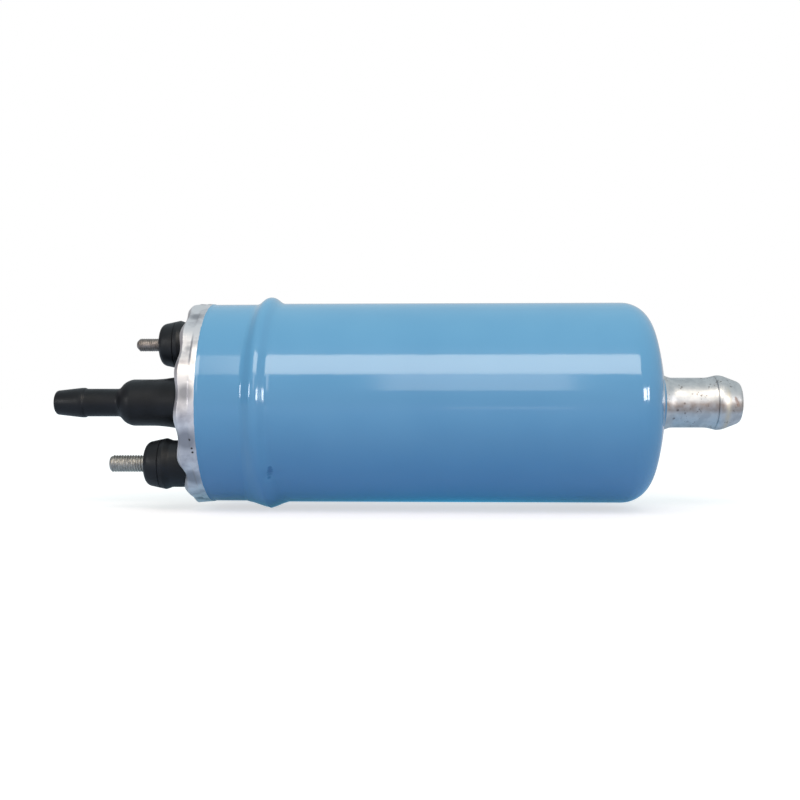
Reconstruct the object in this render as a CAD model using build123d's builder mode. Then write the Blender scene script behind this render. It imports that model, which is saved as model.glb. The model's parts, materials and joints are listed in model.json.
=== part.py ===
from build123d import *
import os
from math import asin, cos, hypot, pi, radians, sin, sqrt

# In-line electric fuel pump, in millimetres. X runs along the pump from the outlet to the inlet
# and Z is up. The origin is on the axis, in the middle of the plain length that a clamp goes round.

os.makedirs("parts", exist_ok=True)

# Fits
snug = 0.03  # fixed pieces, on the radius
running = 0.05  # turning and sliding pieces, on the radius
end_float = 0.3  # thrust faces
past = 1.0  # a cut runs this far past what it cuts
trace = 0.01  # for choosing corners by their place

# Can: a deep-drawn shell with a domed inlet end, a rolled bead and a rim rolled over the end cover
can_r = 30.0
can_wall = 1.5
can_length = 128.1  # rim to the start of the dome
clamp_length = 98.0  # plain length for the clamp, from the bead towards the dome
clamp_to_dome = 2.0
knuckle_r = 8.5
crown_r = 75.0
bead_height = 1.9
bead_steep = 3.1  # run of the steep side, towards the inlet
bead_top = 2.6
bead_gentle = 4.2  # run of the gentle side, towards the rim
bead_blend = 2.0
neck_drop = 0.25  # the painted length between bead and rim is this much smaller on the radius
rim_rise = 0.3  # and the bare rim this much larger than the can
rim_length = 6.1
rim_taper = 0.4  # it loses this much of its radius towards the paint
rim_corner = 1.2
rim_lip_in = 1.3  # the lip reaches this far inside the bore
crimp_count = 14
crimp_tool_r = 7.0
crimp_tilt = 35.0  # of the pressing tool, from the pump's axis
crimp_turn = 20.4  # of the first press, from the Y axis
crimp_depth = 1.6

# Hose nipples
inlet_r = 7.5
inlet_bore_r = 5.5
inlet_length = 23.81  # out from its foot on the dome
inlet_barb_r = 8.2
inlet_barb_length = 9.6
inlet_barb_rise = 2.8
inlet_barb_crest = 1.4
inlet_braze_rise = 0.9
inlet_braze_run = 2.4
inlet_tip_r = 6.0
inlet_flange_r = 9.5
inlet_flange_t = 1.6
outlet_r = 4.25
outlet_bore_r = 2.5
outlet_barb_r = 4.55
outlet_barb_length = 9.4
outlet_barb_crest = 1.1
outlet_barb_back = 0.4
outlet_tip_drop = 0.6
outlet_tip_round = 0.8
outlet_shank_length = 10.4
outlet_shoulder_length = 3.9
outlet_shoulder_run = 1.7
outlet_shoulder_drop = 0.9
outlet_body_r = 7.1
outlet_body_length = 8.6
outlet_flare_r = 8.0
outlet_flare_length = 6.0
outlet_hex_af = 17.0
outlet_hex_t = 5.5
outlet_thread_r = 6.0
outlet_thread_length = 8.8
outlet_washer_t = 1.0

# Check valve, in the outlet nipple
valve_chamber_r = 4.4
valve_seat_t = 3.0
valve_seat_hole_r = 2.2
poppet_r = 3.45
poppet_rim_t = 1.2
poppet_cone = 1.3
poppet_nose = 1.0
poppet_stem_r = 1.2
poppet_stem_length = 15.5
valve_spring_length = 11.5
valve_guide_t = 1.8
valve_guide_hub_r = 2.2
valve_guide_port_r = 0.8
outlet_gallery_r = 3.4

# End cover and terminals
cover_length = 33.6
cover_wall = 2.9
cover_end_t = 9.6
cover_boss_r = 9.0
cover_boss_draft = 0.5
cover_boss_short = 2.0  # the bearing boss stops this far short of the skirt's edge
cover_gallery_r = 5.0
cover_port_r = 2.0
cover_groove_in = 2.0  # from the cover's inner face
cover_groove_width = 3.0
cover_groove_depth = 2.0
terminal_angle = 64.8  # from the Y axis, seen along X
terminal_spigot_r = 4.6
terminal_spigot_length = 5.6
insulator_to_lip = 0.25
insulator_face_r = 5.9
insulator_corner = 0.5
insulator_ridge_r = 7.6
insulator_neck_r = 6.95
insulator_face_out = 14.4  # face of the insulator, out from the cover
insulator_ridge_out = 8.4
insulator_neck_out = 6.6
stud_seal_t = 2.0
stud_head_r = 4.5
stud_head_t = 2.6
stud_chamfer = 0.6
stud_runout = 0.4  # the rolled thread ends this far short of the insulator
inner_insulator_r = 5.3
inner_insulator_t = 1.5
strip_t = 0.8
strip_width = 5.0
terminals = {
    "positive": {"stud_r": 2.5, "shank_r": 2.24, "stand_out": 10.9, "side": -1},
    "negative": {"stud_r": 2.0, "shank_r": 1.77, "stand_out": 7.9, "side": 1},
}

# Gear cell: the inner rotor has one lobe fewer than the outer one
inner_lobes = 6
outer_lobes = inner_lobes + 1
rotor_rim = 3.0  # outer rotor's radius, less that of the circle through its lobes
rotor_gap = 0.08  # between the rotors' flanks
flank_share = 10  # arcs that draw each lobe of the inner rotor
gear_width = 9.0
suction_plate_t = 6.0
pressure_plate_t = 6.0
plate_chamfer = 0.6
port_in = 3.3  # the ports run this far inside the circle through the lobes
port_width = 3.4
port_sweep = 110.0
blind_port_depth = 1.0
bush_boss_r = 9.0
bush_boss_length = 3.0
bush_boss_draft = 1.0
shaft_clearance = 0.3  # where the shaft passes the plate
cell_screw_count = 4
cell_screw_short = 0.5
cell_screw_to_flux = 1.0  # from the screw's head to the flux ring
cell_screw_wall = 3.7  # from the screw to the outer rotor, on the radius
cell_screw_r = 2.0
cell_screw_head_r = 3.3
cell_screw_head_t = 3.0
cell_screw_socket_r = 1.5
cell_seal_depth = 2.0
cell_seal_width = 2.4

# Relief valve, in a boss on the suction plate
relief_offset = 11.0
relief_boss_r = 4.8
relief_boss_length = 6.0
relief_bore_r = 2.6
relief_inlet_r = 1.5
relief_ball_r = 2.2
relief_plug_t = 2.0
relief_bleed_r = 1.0
relief_seat_in = 2.5

# Motor
shaft_r = 4.0
shaft_core_r = 5.0
shaft_flat = 3.2
flux_wall = 2.0
magnet_t = 5.8
magnet_gap = 12.0
clip_t = 1.0
air_gap = 0.87
core_to_plate = 12.0
magnet_overhang = 6.0
slot_count = 8
slot_width = 5.0
slot_floor_r = 10.0
slot_lip = 1.6
slot_mouth = 2.4
winding_overhang = 7.0
winding_end_gap = 1.0
winding_in_r = 6.6
winding_below_lip = 0.8
winding_ease = 3.0
winding_gap = 0.25
commutator_gap = 1.5
commutator_r = 10.5
commutator_bar_t = 2.5
commutator_bar_length = 11.0
hub_collar = 5.0  # from the hub's end to the bars
hub_collar_gap = 0.2
hub_collar_step = 1.0
hub_collar_drop = 0.6
riser_r = 12.2
riser_t = 2.0
bar_slit = 0.6
bush_wall = 2.0
bush_length = 8.0
bush_chamfer = 0.5
washer_r = 7.0
washer_t = 1.2
shaft_tail = 1.5
brush_width = 5.0
brush_depth = 6.4
brush_length = 8.5
brush_guide_wall = 2.2
brush_guide_in_r = 12.0
brush_guide_to_flux = 0.6
brush_cap_t = 1.3
holder_t = 4.0
holder_bore_r = 15.0
spring_wall = 0.6
brush_spring_r = 2.1
valve_spring_r = 3.0
relief_spring_r = 2.3

# Inlet screen
screen_r = 5.0
screen_wall = 0.8
screen_depth = 4.0
screen_flange = 1.5
screen_taper = 0.6
screen_slots = 8
screen_slot = 1.2

# Radii that follow from the can
bore_r = can_r - can_wall
plate_r = bore_r - 2 * snug
rim_lip_r = bore_r - rim_lip_in
terminal_circle_r = rim_lip_r - insulator_neck_r - insulator_to_lip
brush_guide_out_r = bore_r - flux_wall - brush_guide_to_flux
magnet_out_r = bore_r - flux_wall - snug
magnet_in_r = magnet_out_r - magnet_t
core_r = magnet_in_r - air_gap
slot_top_r = core_r - slot_lip
winding_out_r = slot_top_r - winding_below_lip
cell_screw_circle_r = bore_r - flux_wall - cell_screw_head_r - cell_screw_to_flux
outer_rotor_r = cell_screw_circle_r - cell_screw_r - cell_screw_wall
lobe_circle_r = outer_rotor_r - rotor_rim
# The teeth keep their form: a unit is a 27th of the circle through the outer rotor's lobes
rotor_unit = lobe_circle_r / 27
eccentricity = 2.8 * rotor_unit
lobe_r = 8 * rotor_unit
port_r = lobe_circle_r - port_in

# Stations along X
dome_x = clamp_length / 2 + clamp_to_dome
rim_x = dome_x - can_length
crown_centre_x = dome_x - sqrt((crown_r - knuckle_r) ** 2 - (can_r - knuckle_r) ** 2)
cover_x = rim_x + can_wall
cover_edge_x = cover_x + cover_length
cover_inner_x = cover_x + cover_end_t
boss_x = cover_edge_x - cover_boss_short
flux_x = cover_edge_x + holder_t
suction_x = dome_x - suction_plate_t
gear_x = suction_x - gear_width
pressure_x = gear_x - pressure_plate_t
hub_x = boss_x + end_float + washer_t
bar_x = hub_x + hub_collar
bar_end_x = bar_x + commutator_bar_length
brush_x = (bar_x + bar_end_x) / 2
riser_x = bar_end_x + riser_t
core_x = riser_x + commutator_gap + winding_overhang
core_end_x = pressure_x - core_to_plate
core_length = core_end_x - core_x
shoulder_x = core_end_x + winding_overhang


# Half section of a turned piece, from its corners as station and radius
def section(*corners):
    with BuildSketch(Plane.XY) as outline:
        with BuildLine():
            Polyline(*corners, close=True)
        make_face()
    return outline.sketch


# Half section of a plain ring
def band(start, end, inner, outer):
    return section((start, inner), (end, inner), (end, outer), (start, outer))


# Where a surface that follows the dome, this far inside it, stands at a radius
def crown_x(inset, radius):
    return crown_centre_x + sqrt((crown_r - inset) ** 2 - radius**2)


# Where the dome's knuckle meets its crown, on the outside
knuckle_share = (can_r - knuckle_r) / (crown_r - knuckle_r)
knuckle_end_r = crown_r * knuckle_share
knuckle_end = (crown_x(0, knuckle_end_r), knuckle_end_r)
knuckle_turn = (pi / 2 + asin(knuckle_share)) / 2
knuckle_middle = (
    dome_x + knuckle_r * cos(knuckle_turn),
    can_r - knuckle_r + knuckle_r * sin(knuckle_turn),
)
crown_middle = (crown_x(0, knuckle_end_r / 2), knuckle_end_r / 2)
# On the inside the knuckle is two plain cones
knuckle_back_r = (crown_r - can_wall) * knuckle_share
knuckle_back = (
    dome_x + (knuckle_r - can_wall) * cos(knuckle_turn),
    can_r - knuckle_r + (knuckle_r - can_wall) * sin(knuckle_turn),
)


# Corners of the bead, from its gentle side to its steep side, this far inside its outer surface
def bead_corners(inset):
    steep_x = -clamp_length / 2 - bead_steep
    return [
        (steep_x - bead_top - bead_gentle, can_r - neck_drop - inset),
        (steep_x - bead_top, can_r + bead_height - inset),
        (steep_x, can_r + bead_height - inset),
        (-clamp_length / 2, can_r - inset),
    ]


# Inlet nipple's seat against the inside of the dome
nipple_seat_x = crown_x(can_wall, inlet_flange_r)

with BuildPart() as housing_can:
    with BuildSketch(Plane.XY) as drawn_shell:
        with BuildLine():
            Polyline(
                (crown_x(0, 0), 0),
                (rim_x + rim_corner, 0),
                (rim_x + rim_corner, can_r - neck_drop),
                *bead_corners(0),
                (dome_x, can_r),
            )
            ThreePointArc((dome_x, can_r), knuckle_middle, knuckle_end)
            ThreePointArc(knuckle_end, crown_middle, (crown_x(0, 0), 0))
        make_face()
        bead_start = bead_corners(0)[0][0] - trace
        bead_end = bead_corners(0)[-1][0] + trace
        fillet(drawn_shell.vertices().filter_by(lambda v: bead_start < v.X < bead_end), bead_blend)
    revolve(axis=Axis.X)
    # Bare rim, swelled by the crimping rollers
    rim_r = can_r + rim_rise
    rim = section(
        (rim_x, 0),
        (rim_x, rim_r - rim_corner),
        (rim_x + rim_corner, rim_r),
        (rim_x + rim_length, rim_r - rim_taper),
        (rim_x + rim_length, 0),
    )
    revolve(rim, axis=Axis.X)
    # Inside: the lip of the rim, the bore, the back of the bead and the back of the dome
    bore = section(
        (rim_x - past, 0),
        (rim_x - past, rim_lip_r),
        (cover_x, rim_lip_r),
        (cover_x, bore_r),
        (bead_corners(can_wall)[0][0], bore_r),
        *bead_corners(can_wall)[1:],
        (dome_x, bore_r),
        knuckle_back,
        (crown_x(can_wall, knuckle_back_r), knuckle_back_r),
        (nipple_seat_x, inlet_flange_r),
        (nipple_seat_x, inlet_r + snug),
        (crown_x(0, 0) + past, inlet_r + snug),
        (crown_x(0, 0) + past, 0),
    )
    revolve(bore, axis=Axis.X, mode=Mode.SUBTRACT)
    # Each press of the crimping tool leaves one hollow across the rim's corner
    tool_back = (crimp_tool_r - crimp_depth) * sin(radians(crimp_tilt))
    tool_out = (crimp_tool_r - crimp_depth) * cos(radians(crimp_tilt))
    with Locations(Plane.YZ.offset(rim_x - tool_back)):
        with PolarLocations(rim_r + tool_out, crimp_count, start_angle=crimp_turn):
            tilt = (0, crimp_tilt, 0)
            Cylinder(crimp_tool_r, 6 * crimp_tool_r, rotation=tilt, mode=Mode.SUBTRACT)
housing_can.part.label = "housing_can"
export_step(housing_can.part, "parts/housing_can.step")

# Inlet hose nipple: a plated steel tube flanged inside the dome and brazed round its foot
nipple_foot_x = crown_x(0, inlet_r)
inlet_tip_x = nipple_foot_x + inlet_length
inlet_barb_x = inlet_tip_x - inlet_barb_length
with BuildPart() as inlet_nipple:
    with BuildSketch(Plane.XY) as nipple_outline:
        with BuildLine():
            Polyline(
                (nipple_seat_x - inlet_flange_t, inlet_bore_r),
                (nipple_seat_x - inlet_flange_t, inlet_flange_r),
                (nipple_seat_x, inlet_flange_r),
                (nipple_seat_x, inlet_r),
                (nipple_foot_x, inlet_r),
                (nipple_foot_x, inlet_r + inlet_braze_rise),
                (nipple_foot_x + 3 / 8 * inlet_braze_run, inlet_r + 5 / 9 * inlet_braze_rise),
                (nipple_foot_x + inlet_braze_run, inlet_r),
                (inlet_barb_x, inlet_r),
                (inlet_barb_x + inlet_barb_rise, inlet_barb_r),
                (inlet_barb_x + inlet_barb_rise + inlet_barb_crest, inlet_barb_r),
                (inlet_tip_x, inlet_tip_r),
                (inlet_tip_x, inlet_bore_r),
                close=True,
            )
        make_face()
        tip = nipple_outline.vertices().filter_by(lambda v: v.X > inlet_tip_x - trace)
        fillet(tip.sort_by(Axis.Y)[-1], 0.8 * (inlet_tip_r - inlet_bore_r))
    revolve(axis=Axis.X)
inlet_nipple.part.label = "inlet_nipple"
export_step(inlet_nipple.part, "parts/inlet_nipple.step")

# Inlet screen: a slotted cup clipped over the nipple's inner end
screen_x = nipple_seat_x - inlet_flange_t
with BuildPart() as inlet_screen:
    revolve(
        section(
            (screen_x, screen_r - screen_wall),
            (screen_x, screen_r + screen_flange),
            (screen_x - screen_wall, screen_r + screen_flange),
            (screen_x - screen_wall, screen_r),
            (screen_x - screen_depth, screen_r - screen_taper),
            (screen_x - screen_depth, 0),
            (screen_x - screen_depth + screen_wall, 0),
            (screen_x - screen_depth + screen_wall, screen_r - screen_taper - screen_wall),
        ),
        axis=Axis.X,
    )
    slot_middle = (2 * screen_x - screen_depth) / 2
    with Locations(Plane.YZ.offset(slot_middle)):
        with PolarLocations(screen_r, screen_slots):
            Box(2 * screen_wall + past, screen_slot, screen_depth - 3 * screen_wall, mode=Mode.SUBTRACT)
inlet_screen.part.label = "inlet_screen"
export_step(inlet_screen.part, "parts/inlet_screen.step")


# Rubber ring pressed between its groove's floor and the can
def seal_section(start, end, floor):
    low, high = floor + snug, bore_r - snug
    ease = (high - low) / 4
    return section(
        (start + snug, low),
        (end - snug, low),
        (end - snug, high - ease),
        (end - snug - ease, high),
        (start + snug + ease, high),
        (start + snug, high - ease),
    )


# Port on a plate of the gear cell: side is 1 for suction and -1 for pressure
def port(plane, side):
    with BuildSketch(plane) as opening:
        middle = 0 if side > 0 else 180
        sweep = CenterArc((0, eccentricity / 2), port_r, middle - port_sweep / 2, port_sweep)
        SlotArc(sweep, port_width)
    return opening.sketch


screw_angle = 180 / cell_screw_count

# Suction plate, seated where the dome begins
with BuildPart() as suction_plate:
    groove_end = suction_x + (suction_plate_t + cell_seal_width) / 2
    groove_start = groove_end - cell_seal_width
    revolve(
        section(
            (suction_x, 0),
            (suction_x, plate_r),
            (groove_start, plate_r),
            (groove_start, plate_r - cell_seal_depth),
            (groove_end, plate_r - cell_seal_depth),
            (groove_end, plate_r),
            (dome_x - plate_chamfer, plate_r),
            (dome_x, plate_r - plate_chamfer),
            (dome_x, 0),
        ),
        axis=Axis.X,
    )
    with Locations(Plane.YZ.offset(dome_x)):
        with Locations((-relief_offset, 0)):
            Cylinder(relief_boss_r, relief_boss_length, align=(Align.CENTER, Align.CENTER, Align.MIN))
    extrude(port(Plane.YZ.offset(suction_x), 1), suction_plate_t, mode=Mode.SUBTRACT)
    extrude(port(Plane.YZ.offset(suction_x), -1), blind_port_depth, mode=Mode.SUBTRACT)
    with Locations(Plane.YZ.offset(suction_x)):
        with Locations((-relief_offset, 0)):
            bottom = (Align.CENTER, Align.CENTER, Align.MIN)
            Cylinder(relief_inlet_r, suction_plate_t, align=bottom, mode=Mode.SUBTRACT)
        with Locations((-relief_offset, 0, relief_seat_in)):
            Cylinder(relief_bore_r, 4 * suction_plate_t, align=bottom, mode=Mode.SUBTRACT)
        with PolarLocations(cell_screw_circle_r, cell_screw_count, screw_angle):
            Cylinder(cell_screw_r + snug, suction_plate_t, align=bottom, mode=Mode.SUBTRACT)
suction_plate.part.label = "suction_plate"
export_step(suction_plate.part, "parts/suction_plate.step")

with BuildPart() as cell_seal_ring:
    revolve(seal_section(groove_start, groove_end, plate_r - cell_seal_depth), axis=Axis.X)
cell_seal_ring.part.label = "cell_seal_ring"
export_step(cell_seal_ring.part, "parts/cell_seal_ring.step")

# Steel ring with the eccentric bore that the outer rotor turns in
with BuildPart() as gear_ring:
    with BuildSketch(Plane.YZ.offset(gear_x)):
        Circle(plate_r)
        with Locations((0, eccentricity)):
            Circle(outer_rotor_r + running, mode=Mode.SUBTRACT)
        with PolarLocations(cell_screw_circle_r, cell_screw_count, screw_angle):
            Circle(cell_screw_r + 2 * running, mode=Mode.SUBTRACT)
    extrude(amount=gear_width)
gear_ring.part.label = "gear_ring"
export_step(gear_ring.part, "parts/gear_ring.step")

# Outer rotor: a ring with round lobes on its bore, about its own offset centre
rotor_x = gear_x + running
rotor_width = gear_width - 2 * running
with BuildPart() as outer_rotor:
    with BuildSketch(Plane.YZ.offset(rotor_x)):
        with Locations((0, eccentricity)):
            Circle(outer_rotor_r)
            Circle(lobe_circle_r + 2 * eccentricity - lobe_r + rotor_gap, mode=Mode.SUBTRACT)
            with PolarLocations(lobe_circle_r, outer_lobes, 90):
                Circle(lobe_r)
            Circle(outer_rotor_r, mode=Mode.INTERSECT)
    extrude(amount=rotor_width)
outer_rotor.part.label = "outer_rotor"
export_step(outer_rotor.part, "parts/outer_rotor.step")


# The inner rotor's flank stays one lobe radius inside the path that the outer lobes' centres take
def flank_point(angle):
    across = lobe_circle_r * cos(angle) + eccentricity * cos(outer_lobes * angle)
    along = lobe_circle_r * sin(angle) + eccentricity * sin(outer_lobes * angle)
    step_across = -lobe_circle_r * sin(angle) - outer_lobes * eccentricity * sin(outer_lobes * angle)
    step_along = lobe_circle_r * cos(angle) + outer_lobes * eccentricity * cos(outer_lobes * angle)
    inset = (lobe_r + rotor_gap) / hypot(step_across, step_along)
    # Turned a quarter, so that the first tip points up, at the outer rotor's offset
    return (-(along + inset * step_across), across - inset * step_along)


# Shaft section with its two driving flats
def drive_section(plane, gap):
    with BuildSketch(plane) as end:
        Circle(shaft_r + gap)
        Rectangle(4 * shaft_r, 2 * (shaft_flat + gap), mode=Mode.INTERSECT)
    return end.sketch


with BuildPart() as inner_rotor:
    flank_arcs = flank_share * inner_lobes
    flank = [flank_point(pi * step / flank_arcs) for step in range(2 * flank_arcs)]
    with BuildSketch(Plane.YZ.offset(rotor_x)):
        with BuildLine():
            for step in range(0, 2 * flank_arcs, 2):
                ThreePointArc(flank[step], flank[step + 1], flank[(step + 2) % len(flank)])
        make_face()
    extrude(amount=rotor_width)
    extrude(drive_section(Plane.YZ.offset(rotor_x), snug), rotor_width, mode=Mode.SUBTRACT)
inner_rotor.part.label = "inner_rotor"
export_step(inner_rotor.part, "parts/inner_rotor.step")

# Pressure plate, with the boss for the front bush
bush_outer_r = shaft_r + running + bush_wall
front_boss_x = pressure_x - bush_boss_length
with BuildPart() as pressure_plate:
    revolve(
        section(
            (front_boss_x, bush_outer_r + snug),
            (front_boss_x, bush_boss_r),
            (pressure_x, bush_boss_r + bush_boss_draft),
            (pressure_x, plate_r),
            (gear_x, plate_r),
            (gear_x, shaft_r + shaft_clearance),
            (front_boss_x + bush_length, shaft_r + shaft_clearance),
            (front_boss_x + bush_length, bush_outer_r + snug),
        ),
        axis=Axis.X,
    )
    extrude(port(Plane.YZ.offset(pressure_x), -1), pressure_plate_t, mode=Mode.SUBTRACT)
    blind_floor_x = gear_x - blind_port_depth
    extrude(port(Plane.YZ.offset(blind_floor_x), 1), blind_port_depth, mode=Mode.SUBTRACT)
    with Locations(Plane.YZ.offset(pressure_x)):
        with PolarLocations(cell_screw_circle_r, cell_screw_count, screw_angle):
            Cylinder(
                cell_screw_r + 2 * running,
                pressure_plate_t,
                align=(Align.CENTER, Align.CENTER, Align.MIN),
                mode=Mode.SUBTRACT,
            )
pressure_plate.part.label = "pressure_plate"
export_step(pressure_plate.part, "parts/pressure_plate.step")

# Socket-head screws that hold the gear cell together
with BuildPart() as cell_screws:
    screw_length = pressure_plate_t + gear_width + suction_plate_t - cell_screw_short
    with Locations(Plane.YZ.offset(pressure_x)):
        with PolarLocations(cell_screw_circle_r, cell_screw_count, screw_angle):
            Cylinder(cell_screw_r, screw_length, align=(Align.CENTER, Align.CENTER, Align.MIN))
            Cylinder(
                cell_screw_head_r,
                cell_screw_head_t,
                align=(Align.CENTER, Align.CENTER, Align.MAX),
            )
    with BuildSketch(Plane.YZ.offset(pressure_x - cell_screw_head_t)):
        with PolarLocations(cell_screw_circle_r, cell_screw_count, screw_angle):
            RegularPolygon(cell_screw_socket_r, 6)
    extrude(amount=cell_screw_head_t / 2, mode=Mode.SUBTRACT)
cell_screws.part.label = "cell_screws"
export_step(cell_screws.part, "parts/cell_screws.step")

# Relief valve, set in from the suction plate's inner face
relief_seat_x = suction_x + relief_seat_in
ball_x = relief_seat_x + sqrt(relief_ball_r**2 - relief_inlet_r**2) + running
relief_plug_x = dome_x + relief_boss_length - relief_plug_t
with BuildPart() as relief_ball:
    with Locations((ball_x, -relief_offset, 0)):
        Sphere(relief_ball_r)
relief_ball.part.label = "relief_ball"
export_step(relief_ball.part, "parts/relief_ball.step")

relief_spring_in_r = relief_spring_r - spring_wall
relief_spring_x = ball_x + sqrt(relief_ball_r**2 - relief_spring_in_r**2) + running
with BuildPart() as relief_spring:
    with BuildSketch(Plane.YZ.offset(relief_spring_x)):
        with Locations((-relief_offset, 0)):
            Circle(relief_spring_r)
            Circle(relief_spring_in_r, mode=Mode.SUBTRACT)
    extrude(amount=relief_plug_x - relief_spring_x)
relief_spring.part.label = "relief_spring"
export_step(relief_spring.part, "parts/relief_spring.step")

with BuildPart() as relief_plug:
    with BuildSketch(Plane.YZ.offset(relief_plug_x)):
        with Locations((-relief_offset, 0)):
            Circle(relief_bore_r - snug)
            Circle(relief_bleed_r, mode=Mode.SUBTRACT)
    extrude(amount=relief_plug_t)
relief_plug.part.label = "relief_plug"
export_step(relief_plug.part, "parts/relief_plug.step")

# Field: a steel flux ring with two ceramic magnets, spread by spring clips
with BuildPart() as flux_ring:
    revolve(band(flux_x, pressure_x, bore_r - flux_wall, plate_r), axis=Axis.X)
flux_ring.part.label = "flux_ring"
export_step(flux_ring.part, "parts/flux_ring.step")

magnet_x = core_x - magnet_overhang
magnet_length = core_length + 2 * magnet_overhang
with BuildPart() as field_magnets:
    with BuildSketch(Plane.YZ.offset(magnet_x)):
        Circle(magnet_out_r)
        Circle(magnet_in_r, mode=Mode.SUBTRACT)
        Rectangle(2 * magnet_gap, 3 * can_r, mode=Mode.SUBTRACT)
    extrude(amount=magnet_length)
field_magnets.part.label = "field_magnets"
export_step(field_magnets.part, "parts/field_magnets.step")

with BuildSketch(Plane.XY) as clip_hollow:
    Circle(magnet_out_r - clip_t)
    Rectangle(2 * (magnet_gap - clip_t), 3 * can_r, mode=Mode.INTERSECT)
with BuildPart() as magnet_clips:
    with BuildSketch(Plane.YZ.offset(magnet_x)):
        Circle(magnet_out_r)
        Circle(magnet_in_r + clip_t, mode=Mode.SUBTRACT)
        Rectangle(2 * (magnet_gap - snug), 3 * can_r, mode=Mode.INTERSECT)
        add(clip_hollow.sketch, mode=Mode.SUBTRACT)
    extrude(amount=magnet_length)
magnet_clips.part.label = "magnet_clips"
export_step(magnet_clips.part, "parts/magnet_clips.step")

# Armature
with BuildPart() as armature_shaft:
    tail_x = boss_x - bush_length - shaft_tail
    revolve(
        section(
            (tail_x, 0),
            (tail_x, shaft_r - bush_chamfer),
            (tail_x + bush_chamfer, shaft_r),
            (riser_x, shaft_r),
            (riser_x, shaft_core_r),
            (shoulder_x, shaft_core_r),
            (shoulder_x, shaft_r),
            (rotor_x, shaft_r),
            (rotor_x, 0),
        ),
        axis=Axis.X,
    )
    extrude(drive_section(Plane.YZ.offset(rotor_x), 0), rotor_width)
armature_shaft.part.label = "armature_shaft"
export_step(armature_shaft.part, "parts/armature_shaft.step")


# Slots of the laminated core, grown by a gap: a wide body behind a narrow mouth
def core_slots(plane, gap):
    with BuildSketch(plane) as slots:
        with PolarLocations((slot_floor_r + slot_top_r) / 2, slot_count):
            Rectangle(slot_top_r - slot_floor_r + 2 * gap, slot_width + 2 * gap)
    return slots.sketch


with BuildPart() as armature_core:
    with BuildSketch(Plane.YZ.offset(core_x)):
        Circle(core_r)
        Circle(shaft_core_r + snug, mode=Mode.SUBTRACT)
        add(core_slots(Plane.XY, 0), mode=Mode.SUBTRACT)
        with PolarLocations(core_r, slot_count):
            Rectangle(2 * slot_lip + past, slot_mouth, mode=Mode.SUBTRACT)
    extrude(amount=core_length)
armature_core.part.label = "armature_core"
export_step(armature_core.part, "parts/armature_core.step")

# Winding: bars in the slots, joined by an eased bundle past each end of the core
with BuildPart() as armature_winding:
    bars = core_slots(Plane.YZ.offset(core_x - past), -winding_gap)
    extrude(bars, core_length + 2 * past)
    for start, side in ((core_x - snug, -1), (core_end_x + snug, 1)):
        end = start + side * (winding_overhang - winding_end_gap)
        bundle = section(
            (start, winding_in_r),
            (start, winding_out_r),
            (end - side * winding_ease, winding_out_r),
            (end, winding_out_r - winding_ease),
            (end, winding_in_r),
        )
        revolve(bundle, axis=Axis.X)
armature_winding.part.label = "armature_winding"
export_step(armature_winding.part, "parts/armature_winding.step")

# Commutator: copper bars with risers, moulded on an insulating hub
bar_in_r = commutator_r - commutator_bar_t
with BuildPart() as commutator_hub:
    revolve(band(hub_x, riser_x, shaft_r + snug, bar_in_r - snug), axis=Axis.X)
    collar_end_x = bar_x - hub_collar_gap
    collar_r = commutator_r - hub_collar_drop
    revolve(band(hub_x, collar_end_x, bar_in_r - hub_collar_step, collar_r), axis=Axis.X)
commutator_hub.part.label = "commutator_hub"
export_step(commutator_hub.part, "parts/commutator_hub.step")

with BuildPart() as commutator_bars:
    revolve(
        section(
            (bar_x, bar_in_r),
            (riser_x, bar_in_r),
            (riser_x, riser_r),
            (bar_end_x, riser_r),
            (bar_end_x, commutator_r),
            (bar_x, commutator_r),
        ),
        axis=Axis.X,
    )
    with Locations(Plane.YZ.offset(brush_x)):
        with PolarLocations(0, slot_count // 2, 180 / slot_count, 180):
            Box(3 * riser_r, bar_slit, 3 * commutator_bar_length, mode=Mode.SUBTRACT)
commutator_bars.part.label = "commutator_bars"
export_step(commutator_bars.part, "parts/commutator_bars.step")

# One thrust washer at each end of the armature
with BuildPart() as thrust_washers:
    for start in (boss_x + end_float, shoulder_x):
        revolve(band(start, start + washer_t, shaft_r + snug, washer_r), axis=Axis.X)
thrust_washers.part.label = "thrust_washers"
export_step(thrust_washers.part, "parts/thrust_washers.step")


# Sintered bush with chamfered ends
def bush(start):
    return section(
        (start, shaft_r + running + bush_chamfer),
        (start + bush_chamfer, shaft_r + running),
        (start + bush_length - bush_chamfer, shaft_r + running),
        (start + bush_length, shaft_r + running + bush_chamfer),
        (start + bush_length, bush_outer_r),
        (start, bush_outer_r),
    )


with BuildPart() as front_bush:
    revolve(bush(front_boss_x), axis=Axis.X)
front_bush.part.label = "front_bush"
export_step(front_bush.part, "parts/front_bush.step")

with BuildPart() as rear_bush:
    revolve(bush(boss_x - bush_length), axis=Axis.X)
rear_bush.part.label = "rear_bush"
export_step(rear_bush.part, "parts/rear_bush.step")

# Brush holder: a moulded ring with a square guide above and below the commutator
guide_width = brush_width + 2 * (brush_guide_wall + 2 * running)
guide_end_x = brush_x + brush_depth / 2 + 2 * running + brush_guide_wall
with BuildPart() as brush_holder:
    revolve(band(cover_edge_x, flux_x, holder_bore_r, plate_r), axis=Axis.X)
    for side in (1, -1):
        with BuildSketch(Plane.XY.offset(side * brush_guide_in_r)) as guide:
            with Locations(((cover_edge_x + guide_end_x) / 2, 0)):
                Rectangle(guide_end_x - cover_edge_x, guide_width)
        extrude(guide.sketch, side * (brush_guide_out_r - brush_guide_in_r))
        with BuildSketch(Plane.XY) as guide_hole:
            with Locations((brush_x, 0)):
                Rectangle(brush_depth + 4 * running, brush_width + 4 * running)
        depth = side * (brush_guide_out_r - brush_cap_t)
        extrude(guide_hole.sketch, depth, mode=Mode.SUBTRACT)
brush_holder.part.label = "brush_holder"
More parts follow.
